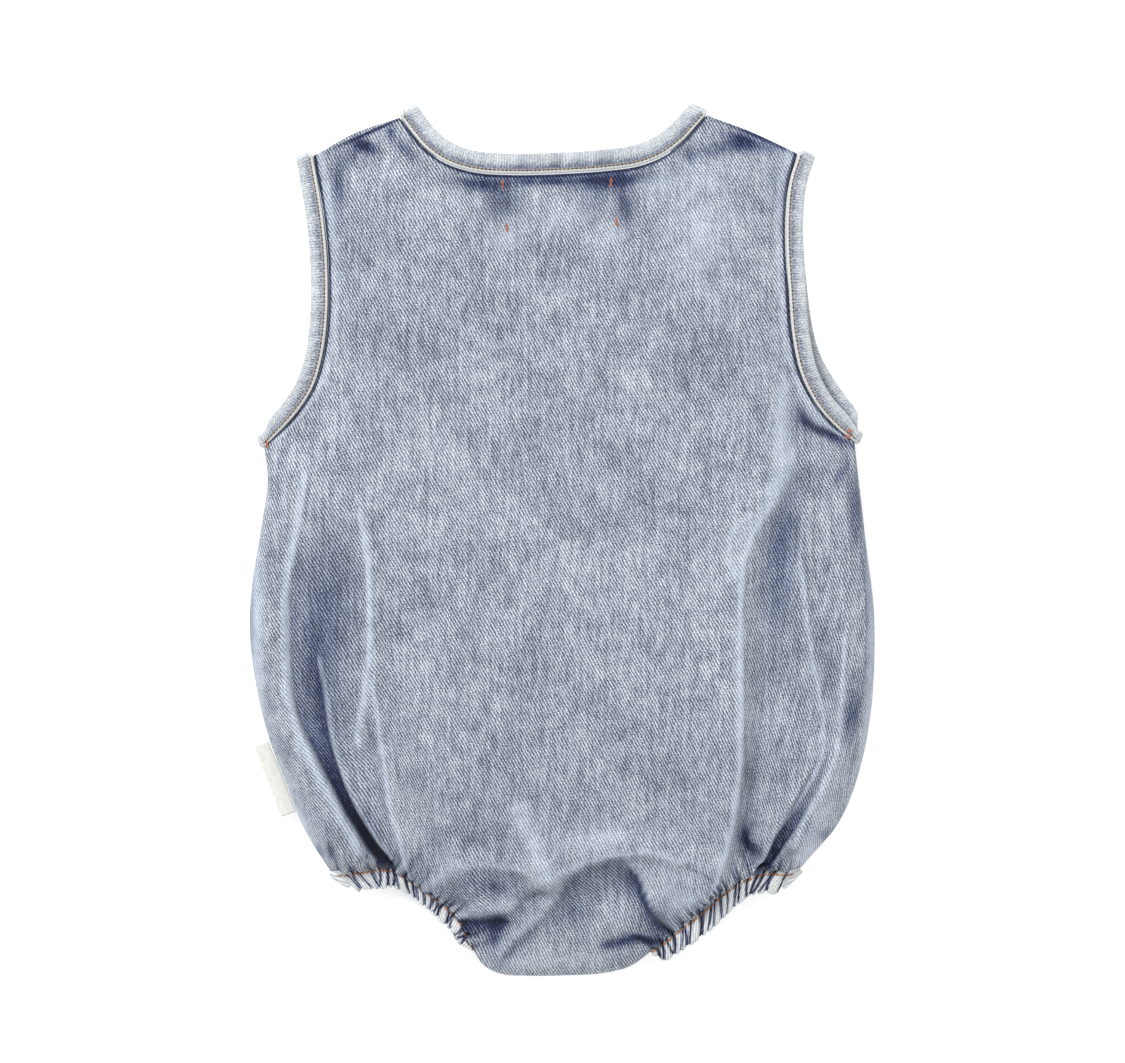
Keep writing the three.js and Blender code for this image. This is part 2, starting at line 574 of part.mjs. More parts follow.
// A solid swept through rings of points, closed on itself or capped at its ends
function sweepOf(rings, closed) {
  const around = rings[0].length;
  const position = rings.flat().flatMap((p) => [p.x, p.y, Math.max(p.z, 0)]);
  const index = [];
  const last = closed ? rings.length : rings.length - 1;
  for (let j = 0; j < last; j += 1) {
    const next = (j + 1) % rings.length;
    for (let i = 0; i < around; i += 1) {
      const k = (i + 1) % around;
      const a = j * around + i;
      const b = j * around + k;
      const c = next * around + k;
      const d = next * around + i;
      index.push(a, b, c, a, c, d);
    }
  }
  if (!closed) {
    for (let i = 1; i < around - 1; i += 1) {
      const end = (rings.length - 1) * around;
      index.push(0, i + 1, i, end, end + i, end + i + 1);
    }
  }
  return geometryOf(position, index);
}

// A swept solid whose section is hollow on one side, so its two ends are cut to the outline
function wallStrip(rings) {
  const around = rings[0].length;
  const position = rings.flat().flatMap((p) => [p.x, p.y, p.z]);
  const index = [];
  for (let j = 0; j < rings.length - 1; j += 1) {
    for (let i = 0; i < around; i += 1) {
      const a = j * around + i;
      const b = j * around + ((i + 1) % around);
      index.push(a, b, b + around, a, b + around, a + around);
    }
  }
  const first = rings[0][0];
  const flat = rings[0].map((p) => new THREE.Vector2(Math.hypot(p.x - first.x, p.y - first.y), p.z));
  const end = (rings.length - 1) * around;
  const turnsLeft = THREE.ShapeUtils.area(flat) > 0;
  for (const [a, b, c] of THREE.ShapeUtils.triangulateShape(flat, [])) {
    if (turnsLeft) index.push(a, c, b, end + a, end + b, end + c);
    else index.push(a, b, c, end + a, end + c, end + b);
  }
  return geometryOf(position, index);
}

function geometryOf(position, index) {
  const geometry = new THREE.BufferGeometry();
  geometry.setAttribute("position", new THREE.Float32BufferAttribute(position, 3));
  geometry.setIndex(index);
  return facingOut(geometry);
}

// Turns a closed mesh's faces outwards if its volume comes out below zero
function facingOut(geometry) {
  const p = geometry.attributes.position;
  const index = Array.from(geometry.index.array);
  const [a, b, c] = [new THREE.Vector3(), new THREE.Vector3(), new THREE.Vector3()];
  let volume = 0;
  for (let i = 0; i < index.length; i += 3) {
    a.fromBufferAttribute(p, index[i]);
    b.fromBufferAttribute(p, index[i + 1]);
    c.fromBufferAttribute(p, index[i + 2]);
    volume += a.dot(b.cross(c));
  }
  if (volume < 0) {
    for (let i = 0; i < index.length; i += 3) {
      [index[i + 1], index[i + 2]] = [index[i + 2], index[i + 1]];
    }
    geometry.setIndex(index);
  }
  geometry.computeVertexNormals();
  return geometry;
}

// The back panel ends short of the right side, where the side seam shows
function rightInset(v) {
  const y = backPatch(1, v).y;
  return fromTable(RIGHT_SEAM, "y", "inset", y) / GARMENT_WIDTH;
}
function backPanel() {
  return wallOf(backRows.map((v) => backColumns.map((u) => {
    const open = smooth((1 - u) / (2 * SIDE_ROLL / GARMENT_WIDTH));
    return backPoint(u - rightInset(v) * (1 - open), v);
  })), CLOTH);
}
// The front panel turns up round the right side to meet it: its last columns share out that way
function frontPanel() {
  const last = FRONT_GRID.roll + FRONT_GRID.turn;
  const roll = FLOOR_ROLL / GARMENT_WIDTH;
  return wallOf(frontRows.map((v) => {
    const inset = Math.max(rightInset(v) - SEAM_GAP / GARMENT_WIDTH, 0);
    const low = frontPoint(1, v);
    const high = backPoint(1, v);
    const turned = inset > 0 ? high.z - low.z + SIDE_TURN.over * inset * GARMENT_WIDTH : 0;
    const rolled = FLOOR_ROLL * SIDE_TURN.round;
    const flat = frontColumns.filter((u) => u < 1 - roll - 1e-6).map((u) => frontPoint(u, v));
    const side = series(last + 1, (i) => {
      const way = (rolled + turned) * (i / last);
      if (way <= rolled || turned === 0) {
        const round = Math.sin((Math.PI / 2) * Math.min(way / rolled, 1));
        return frontPoint(1 - roll * (1 - round), v);
      }
      const up = (way - rolled) / turned;
      const point = backPoint(1 - inset * up ** 2, v);
      return point.setZ(low.z + (point.z - low.z) * Math.min(up * SIDE_TURN.climb, 1));
    });
    return [...flat, ...side];
  }), CLOTH);
}

// A binding or casing at one step: its inner edge on a seam, its width direction, height and thickness
function sectionAt({ seam, across, width, gap, z, turn, out, thickness }) {
  const up = new THREE.Vector3(0, 0, Math.cos(turn)).addScaledVector(out, Math.sin(turn));
  return BAND_SECTION.map((corner) =>
    new THREE.Vector3(seam.x, seam.y, z)
      .addScaledVector(across, gap + corner.width * (width - gap))
      .addScaledVector(up, corner.thickness * thickness));
}
// The same section seen from the other face
const flipped = (ring) => [...ring].reverse();

// The turn of a band round the garment's edge, from the back down to the front
function turnOf({ seam, across, width, gap, high, low, out, thickness }) {
  const middle = (high + low) / 2;
  const radius = (high - low) / 2;
  return series(TURN_STEPS - 1, (i) => {
    const turn = (Math.PI * (i + 1)) / TURN_STEPS;
    const at = seam.clone().addScaledVector(out, radius * Math.sin(turn));
    const z = middle + radius * Math.cos(turn);
    return sectionAt({ seam: at, across, width, gap, z, turn, out, thickness });
  });
}

// One side of a binding along a seam curve, its width direction turning to meet the ends'
const direction = ([x, y]) => new THREE.Vector3(x, y, 0).normalize();
function bindingRun({ curve, shares, inside, ends, size, heightAt }) {
  const edge = chords(curve, shares);
  const thickness = BINDING_THICKNESS;
  const out = new THREE.Vector3();
  const step = 0.01;
  return series(size.steps + 1, (i) => {
    const t = i / size.steps;
    const seam = edge(t);
    const along = curve(Math.min(t + step, 1)).sub(curve(Math.max(t - step, 0))).normalize();
    const normal = new THREE.Vector3(-along.y, along.x, 0);
    if (normal.dot(new THREE.Vector3(...inside, 0).sub(seam)) < 0) normal.negate();
    const across = normal
      .lerp(direction(ends.start.across), 1 - smooth(t / size.blend))
      .lerp(direction(ends.end.across), 1 - smooth((1 - t) / size.blend))
      .normalize();
    const z = heightAt(t);
    return sectionAt({ seam, across, width: size.width, gap: SEAM_GAP, z, turn: 0, out, thickness });
  });
}

// A binding's ring: along the back, round at one end, along the front, and round at the other
function bindingRing({ back, front, backShares, frontShares, inside, ends, size, backHeight }) {
  const thickness = BINDING_THICKNESS;
  const low = thickness / 2;
  const common = { inside, ends, size };
  const upper = bindingRun({ ...common, curve: back, shares: backShares, heightAt: backHeight });
  const lower = bindingRun({ ...common, curve: front, shares: frontShares, heightAt: () => low });
  const turnAt = (t, end) => turnOf({
    seam: back(t), across: direction(end.across), out: direction(end.out),
    width: size.width, gap: SEAM_GAP, high: backHeight(t), low, thickness,
  });
  return sweepOf([
    ...upper, ...turnAt(1, ends.end), ...lower.reverse().map(flipped), ...turnAt(0, ends.start).reverse(),
  ], true);
}
function neckBinding() {
  const share = 1 - 2 * SHOULDER_SHARE;
  return bindingRing({
    back: planCurve(BACK_NECK), front: planCurve(FRONT_NECK), inside: INSIDE_NECK,
    backShares: sharesWithin(backColumns, SHOULDER_SHARE, 1 - SHOULDER_SHARE),
    frontShares: sharesWithin(frontColumns, SHOULDER_SHARE, 1 - SHOULDER_SHARE),
    ends: NECK_ENDS, size: NECK_BINDING,
    backHeight: (t) => fromTable(TOP_HEIGHTS, "share", "back", SHOULDER_SHARE + t * share),
  });
}
function armBinding({ back, front, inside, ends }) {
  return bindingRing({
    back: planCurve(back), front: planCurve(front), inside, ends, size: ARM_BINDING,
    backShares: sharesWithin(backRows, 0, ARM_SHARE),
    frontShares: sharesWithin(frontRows, 0, ARM_SHARE),
    backHeight: (t) => fromTable(EDGE_HEIGHTS, "share", "back", t * ARM_SHARE),
  });
}

// The wave of the gathers, a little uneven along the casing
function gatherWave(s, phase) {
  const uneven = GATHERS.uneven * Math.sin(GATHERS.drift * s + phase);
  return Math.cos(2 * Math.PI * GATHERS.perSide * s + uneven + phase);
}

// One side of a leg casing, gathered by the elastic inside it
function casingRun(rows, shares, heightAt, phase) {
  const seamCurve = chords(seamOf(rows), shares);
  const edgeCurve = planCurve(rows.map((r) => r.edge));
  const steps = GATHERS.sectionsEach * GATHERS.perSide;
  const gap = LEG_SEAM_GAP;
  const out = new THREE.Vector3();
  return series(steps + 1, (i) => {
    const t = i / steps;
    const wave = gatherWave(t, phase) * smooth(t / GATHERS.easeIn);
    const seam = seamCurve(t);
    const across = edgeCurve(t).sub(seam);
    const width = across.length() + GATHERS.widen * wave;
    const thickness = CASING_THICKNESS * (1 - GATHERS.thicken + GATHERS.thicken * wave);
    const z = Math.max(heightAt(t) + GATHERS.lift * wave, thickness / 2);
    return sectionAt({ seam, across: across.normalize(), width, gap, z, turn: 0, out, thickness });
  });
}
function legCasing(side) {
  const onBack = side < 0 ? CASING_LEFT_BACK : CASING_RIGHT_BACK;
  const onFront = side < 0 ? CASING_LEFT_FRONT : CASING_RIGHT_FRONT;
  const low = CASING_THICKNESS / 2;
  const backShares = sharesWithin(backColumns, 0, LEG_SHARE);
  const frontShares = sharesWithin(frontColumns, 0, LEG_SHARE);
  const upper = casingRun(onBack, backShares, (t) => casingHeight(onBack, t), GATHERS.backPhase);
  const lower = casingRun(onFront, frontShares, () => low, GATHERS.frontPhase);
  const seam = new THREE.Vector3(...onBack[0].seam, 0);
  const across = new THREE.Vector3(...onBack[0].edge, 0).sub(seam);
  const width = across.length();
  across.normalize();
  const bend = turnOf({
    seam, across, width, gap: LEG_SEAM_GAP, high: onBack[0].height, low,
    out: new THREE.Vector3(-side * across.y, side * across.x, 0),
    thickness: CASING_THICKNESS * (1 - GATHERS.thicken),
  });
  return sweepOf([...upper.reverse(), ...bend, ...lower.map(flipped)], false);
}

// The back's crotch flap, which turns under at the fold and lies over the front's hem
function crotchFlap() {
  const fold = planCurve(CROTCH_FOLD);
  const shown = 1 - 2 * FLAP.margin;
  const columns = series(FLAP.columns + 1, (i) => FLAP.margin + shown * (i / FLAP.columns));
  const radius = CROTCH_FOLD_HEIGHT - 2 * SEAM_GAP - FLAP.height;
  const turn = series(FLAP.turnSteps + 1, (j) => {
    const angle = (Math.PI / 2) * (j / FLAP.turnSteps);
    const inward = FLAP.turnIn * (1 - Math.cos(angle));
    const z = FLAP.height + radius * (1 - Math.sin(angle));
    return columns.map((t) => {
      const p = fold(t);
      return new THREE.Vector3(p.x * (1 - FLAP.turnNarrows * j), p.y + inward, z);
    });
  });
  const end = FRONT_CROTCH_LEFT[1] + FLAP.reach;
  const under = series(FLAP.steps, (i) => turn[FLAP.turnSteps].map((p) => {
    const j = i + 1;
    const y = p.y + (end - p.y) * (j / FLAP.steps);
    return new THREE.Vector3(p.x * (1 - FLAP.narrows * j), y, FLAP.height);
  }));
  return wallOf([...turn, ...under], CLOTH);
}

// The label: a strip folded double along its outer edge, its two ends caught in the side seam
function sideLabel() {
  const outer = LABEL.layer + LABEL.gap / 2;
  const inner = LABEL.gap / 2;
  const bend = LABEL.width - outer;
  const arcSteps = 4;
  const arc = (radius, from, to) => series(arcSteps + 1, (i) => {
    const angle = from + (to - from) * (i / arcSteps);
    return [bend + radius * Math.cos(angle), radius * Math.sin(angle)];
  });
  const quarter = Math.PI / 2;
  const outline = [
    [0, outer], [0, inner], ...arc(inner, quarter, -quarter),
    [0, -inner], [0, -outer], ...arc(outer, -quarter, quarter),
  ];
  const ends = [leftEdge(LABEL.from), leftEdge(LABEL.to)];
  const along = ends[1].clone().sub(ends[0]).normalize();
  const away = new THREE.Vector3(along.y, -along.x, 0);
  const edge = chords(leftEdge, backRows);
  const edgeHeight = (panel, v) => fromTable(EDGE_HEIGHTS, "share", panel, v);
  const rings = series(LABEL.sections, (i) => {
    const v = LABEL.from + (LABEL.to - LABEL.from) * (i / (LABEL.sections - 1));
    const height = (edgeHeight("back", v) + edgeHeight("front", v)) / 2;
    const seam = edge(v).addScaledVector(away, LABEL.clear);
    return outline.map(([a, z]) => seam.clone().addScaledVector(away, a).setZ(height + z));
  });
  return wallStrip(rings);
}

// A snap's cap: a low dome, its flat rim against the hem
function snapCap() {
  const profile = SNAP_PROFILE.map((p) => new THREE.Vector2((p.radius * SNAPS.diameter) / 2, p.height));
  return new THREE.LatheGeometry(profile, SNAPS.sides).rotateX(Math.PI / 2);
}

const romper = new THREE.Group();
function add(name, geometry, colour, roughness, metalness = 0) {
  const material = new THREE.MeshStandardMaterial({ color: colour, roughness, metalness });
  const mesh = new THREE.Mesh(geometry, material);
  mesh.name = name;
  romper.add(mesh);
  return mesh;
}
add("back_panel", backPanel(), COLOURS.denim, 0.9);
add("front_panel", frontPanel(), COLOURS.denim, 0.9);
add("neck_binding", neckBinding(), COLOURS.binding, 0.85);
add("arm_binding_left", armBinding({
  back: ARMHOLE_LEFT, front: ARMHOLE_LEFT, inside: INSIDE_ARM_LEFT, ends: ARM_LEFT_ENDS,
}), COLOURS.binding, 0.85);
add("arm_binding_right", armBinding({
  back: ARMHOLE_RIGHT, front: ARMHOLE_RIGHT_FRONT, inside: INSIDE_ARM_RIGHT, ends: ARM_RIGHT_ENDS,
}), COLOURS.binding, 0.85);
add("leg_casing_left", legCasing(-1), COLOURS.casing, 0.9);
add("leg_casing_right", legCasing(1), COLOURS.casing, 0.9);
add("crotch_flap", crotchFlap(), COLOURS.denim, 0.9);
add("side_label", sideLabel(), COLOURS.label, 0.8);
for (let i = 0; i < SNAPS.count; i += 1) {
  const snap = add(`crotch_snap_${i + 1}`, snapCap(), COLOURS.metal, 0.35, 0.9);
  const fromMiddle = (i - (SNAPS.count - 1) / 2) * SNAPS.spacing;
  snap.position.set(fromMiddle, FRONT_CROTCH_LEFT[1] + SNAPS.fromHem, 0);
}

export default romper;
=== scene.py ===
import math

import bmesh
import bpy
import numpy as np
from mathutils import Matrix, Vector, noise


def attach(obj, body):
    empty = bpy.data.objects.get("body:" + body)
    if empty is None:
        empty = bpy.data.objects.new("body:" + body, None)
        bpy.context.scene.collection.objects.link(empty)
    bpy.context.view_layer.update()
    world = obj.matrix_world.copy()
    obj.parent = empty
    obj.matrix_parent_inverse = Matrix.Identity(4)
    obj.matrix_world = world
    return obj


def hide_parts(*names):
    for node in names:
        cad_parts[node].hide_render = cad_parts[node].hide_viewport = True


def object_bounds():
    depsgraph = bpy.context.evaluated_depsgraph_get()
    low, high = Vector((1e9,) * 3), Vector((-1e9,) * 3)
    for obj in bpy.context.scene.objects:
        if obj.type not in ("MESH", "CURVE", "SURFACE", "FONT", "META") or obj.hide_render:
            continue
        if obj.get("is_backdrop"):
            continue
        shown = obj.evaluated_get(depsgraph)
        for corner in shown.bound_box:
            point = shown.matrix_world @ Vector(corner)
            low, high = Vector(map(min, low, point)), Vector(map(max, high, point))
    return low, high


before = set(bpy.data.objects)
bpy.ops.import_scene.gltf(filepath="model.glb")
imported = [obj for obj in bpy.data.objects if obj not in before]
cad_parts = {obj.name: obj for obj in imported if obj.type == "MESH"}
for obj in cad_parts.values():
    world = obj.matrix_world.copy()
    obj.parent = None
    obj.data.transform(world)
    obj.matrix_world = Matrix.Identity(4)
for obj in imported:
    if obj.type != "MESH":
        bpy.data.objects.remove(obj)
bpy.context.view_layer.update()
MM = 0.001


# The studio
# A white sweep under the garment, a camera on a tall stand looking straight down, and soft boxes.
CAMERA_HEIGHT = 2.2
CAMERA_OVER = (0.0003, 0.0044)
SHOWN_WIDTH = 0.5175
SENSOR_WIDTH = 36.0
GARMENT_TOP = 0.012

camera_data = bpy.data.cameras.new("overhead_camera")
camera_data.sensor_width = SENSOR_WIDTH
camera_data.lens = SENSOR_WIDTH * (CAMERA_HEIGHT - GARMENT_TOP) / SHOWN_WIDTH
camera = bpy.data.objects.new("overhead_camera", camera_data)
camera.location = (CAMERA_OVER[0], CAMERA_OVER[1], CAMERA_HEIGHT)
bpy.context.scene.collection.objects.link(camera)
bpy.context.scene.camera = camera
bpy.context.scene.view_settings.view_transform = "Standard"

FLOOR_HALF = 3.0
FLOOR_UNDER = 0.0003
floor_mesh = bpy.data.meshes.new("white_sweep")
floor_bm = bmesh.new()
bmesh.ops.create_grid(floor_bm, x_segments=1, y_segments=1, size=FLOOR_HALF)
bmesh.ops.translate(floor_bm, vec=(0, 0, -FLOOR_UNDER), verts=floor_bm.verts)
floor_bm.to_mesh(floor_mesh)
floor_bm.free()
white_sweep = bpy.data.objects.new("white_sweep", floor_mesh)
bpy.context.scene.collection.objects.link(white_sweep)
white_sweep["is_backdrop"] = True
sweep_paint = bpy.data.materials.new("sweep_paint")
sweep_paint.use_nodes = True
sweep_shader = sweep_paint.node_tree.nodes["Principled BSDF"]
sweep_shader.inputs["Base Color"].default_value = (0.93, 0.93, 0.93, 1)
sweep_shader.inputs["Roughness"].default_value = 0.9
sweep_shader.inputs["Emission Color"].default_value = (1, 1, 1, 1)
sweep_shader.inputs["Emission Strength"].default_value = 0.45
floor_mesh.materials.append(sweep_paint)

# Each soft box: where it stands, how wide it is and how bright
SOFT_BOXES = [
    {"name": "key_box", "place": (-0.85, 1.2, 1.75), "width": 0.9, "watts": 36},
    {"name": "fill_box", "place": (1.5, -0.6, 1.7), "width": 1.2, "watts": 7},
]
for box in SOFT_BOXES:
    light_data = bpy.data.lights.new(box["name"], "AREA")
    light_data.size = box["width"]
    light_data.energy = box["watts"]
    light = bpy.data.objects.new(box["name"], light_data)
    light.location = box["place"]
    light.rotation_euler = (-Vector(box["place"])).to_track_quat("-Z", "Y").to_euler()
    bpy.context.scene.collection.objects.link(light)

ROOM_LIGHT = 0.62
room = bpy.data.worlds.new("white_room")
room.use_nodes = True
room.node_tree.nodes["Background"].inputs["Color"].default_value = (1, 1, 1, 1)
room.node_tree.nodes["Background"].inputs["Strength"].default_value = ROOM_LIGHT
bpy.context.scene.world = room


# The back panel
# One piece of light washed denim from the shoulders to the crotch, eased in at the leg openings.
# It is laid out from its seams, which are the edges of a patch, and then raised and folded.
CLOTH = 1.2
SIDE_ROLL = 16
LEG_ROLL = 16
CROTCH_ROLL = 10
NECK_RISE = 30
ARM_ROLL = 42
GARMENT_WIDTH = 286
ARM_SHARE = 1 / 3
SHOULDER_SHARE = 0.19
LEG_SHARE = 0.36

SHOULDER_TIP_LEFT = (-114.5, 178)
SHOULDER_TIP_RIGHT = (108.5, 179)
SHOULDER_MIDDLE_LEFT = (-95, 186.6)
SHOULDER_MIDDLE_RIGHT = (88, 188.6)
NECK_POINT_LEFT = (-75, 195.5)
NECK_POINT_RIGHT = (67, 196.5)
ARMPIT_LEFT = (-136.6, 43)
ARMPIT_RIGHT = (134.5, 45)
HEM_CORNER_LEFT = (-106.5, -152)
HEM_CORNER_RIGHT = (109.8, -150.5)
CROTCH_LEFT = (-40.2, -188)
CROTCH_RIGHT = (41, -188.5)
BACK_NECK = [
    NECK_POINT_LEFT, (-69.5, 187.9), (-62.7, 180.1), (-53, 173.6), (-40, 169.6), (-22, 168.4),
    (0, 168.9), (20, 170.3), (35.6, 172.6), (47, 177.2), (56, 184), (62, 190.6), NECK_POINT_RIGHT,
]
ARMHOLE_LEFT = [
    SHOULDER_TIP_LEFT, (-110.6, 157), (-108, 137), (-107.1, 118), (-107.8, 98), (-110.4, 82),
    (-114.6, 69.5), (-122.2, 58), ARMPIT_LEFT,
]
ARMHOLE_RIGHT = [
    SHOULDER_TIP_RIGHT, (104.4, 166), (102.7, 150), (102.7, 134), (103.7, 117), (105.6, 94),
    (109.4, 77), (116.8, 62.4), (126, 52), ARMPIT_RIGHT,
]
SIDE_LEFT = [
    ARMPIT_LEFT, (-135.1, 28), (-138, 6), (-142, -20), (-143, -42), (-140, -67), (-134.4, -90),
    (-126.9, -110), (-118, -133), HEM_CORNER_LEFT,
]
SIDE_RIGHT = [
    ARMPIT_RIGHT, (136.6, 25), (140, -5), (143, -30), (143.3, -56), (141.6, -80), (136.4, -106),
    (128, -128), HEM_CORNER_RIGHT,
]
# How far the right side seam lies in from the side
RIGHT_SEAM = [
    {"y": 46, "inset": 0}, {"y": 37, "inset": 1}, {"y": 19, "inset": 3.1}, {"y": -4, "inset": 3.3},
    {"y": -39, "inset": 4.6}, {"y": -78, "inset": 5.4}, {"y": -105, "inset": 3.7},
    {"y": -122, "inset": 1.6}, {"y": -136, "inset": 0},
]
CROTCH_FOLD = [
    CROTCH_LEFT, (-35.8, -195), (-28, -199), (-14, -199.9), (2, -199.7), (18, -198.8),
    (31, -195.6), CROTCH_RIGHT,
]
# The leg casings' seams and gathered edges on the back, and their height
CASING_LEFT_BACK = [
    {"seam": HEM_CORNER_LEFT, "edge": (-98.4, -157.9), "height": 5.6},
    {"seam": (-99.8, -150.6), "edge": (-94.6, -160.2), "height": 8.6},
    {"seam": (-92.5, -149.2), "edge": (-90.6, -160), "height": 10},
    {"seam": (-84.6, -147.6), "edge": (-84.2, -160), "height": 10.6},
    {"seam": (-78.2, -148.8), "edge": (-78.4, -159.4), "height": 10.8},
    {"seam": (-71.6, -152.6), "edge": (-72.8, -161.2), "height": 11},
    {"seam": (-65, -157), "edge": (-68.6, -164), "height": 11},
    {"seam": (-58.4, -161.6), "edge": (-62.8, -168.4), "height": 11},
    {"seam": (-51.5, -166.8), "edge": (-57, -173.4), "height": 10.8},
    {"seam": (-46.6, -171.8), "edge": (-52.4, -178), "height": 10.4},
    {"seam": (-43, -178.6), "edge": (-48.6, -182.8), "height": 9.6},
    {"seam": CROTCH_LEFT, "edge": (-45.8, -189.8), "height": 8.4},
]
CASING_RIGHT_BACK = [
    {"seam": HEM_CORNER_RIGHT, "edge": (102.4, -158.4), "height": 5.6},
    {"seam": (104, -150), "edge": (99.4, -161), "height": 8.6},
    {"seam": (96, -149.2), "edge": (94, -161.6), "height": 10},
    {"seam": (88, -151.2), "edge": (87.4, -163.2), "height": 10.6},
    {"seam": (80.2, -154.4), "edge": (81, -167.2), "height": 10.8},
    {"seam": (73.4, -158.8), "edge": (75.6, -172.2), "height": 11},
    {"seam": (67, -164.4), "edge": (70.6, -177), "height": 11},
    {"seam": (61, -169.6), "edge": (65.6, -181.2), "height": 11},
    {"seam": (54.6, -174.6), "edge": (59.6, -185.4), "height": 10.8},
    {"seam": (49, -179.4), "edge": (53, -190), "height": 10.4},
    {"seam": (44.6, -183.6), "edge": (47.6, -193.2), "height": 9.6},
    {"seam": CROTCH_RIGHT, "edge": (42.4, -195.6), "height": 8.4},
]
BACK_HEIGHTS = [
    {"y": 200, "height": 8}, {"y": 165, "height": 11.6}, {"y": 120, "height": 12.8},
    {"y": 60, "height": 15.4}, {"y": 0, "height": 20.6}, {"y": -55, "height": 26},
    {"y": -105, "height": 27.5}, {"y": -145, "height": 22}, {"y": -175, "height": 17},
    {"y": -202, "height": 12.5},
]
EDGE_HEIGHTS = [
    {"share": 0, "back": 4, "front": 2.2}, {"share": 0.05, "back": 7.4, "front": 1},
    {"share": 0.16, "back": 10.6, "front": 0.6}, {"share": 0.28, "back": 9.6, "front": 1.4},
    {"share": ARM_SHARE, "back": 7, "front": 5.6}, {"share": 0.45, "back": 9, "front": 7.6},
    {"share": 0.6, "back": 11.2, "front": 9.8}, {"share": 0.76, "back": 11.2, "front": 9.8},
    {"share": 0.9, "back": 8, "front": 6.6}, {"share": 1, "back": 4.7, "front": 3.3},
]
TOP_HEIGHTS = [
    {"share": 0, "back": 4}, {"share": SHOULDER_SHARE, "back": 4}, {"share": 0.29, "back": 9.4},
    {"share": 0.5, "back": 10.8}, {"share": 0.71, "back": 9.4}, {"share": 1 - SHOULDER_SHARE, "back": 4},
    {"share": 1, "back": 4},
]
CROTCH_FOLD_HEIGHT = 6.4

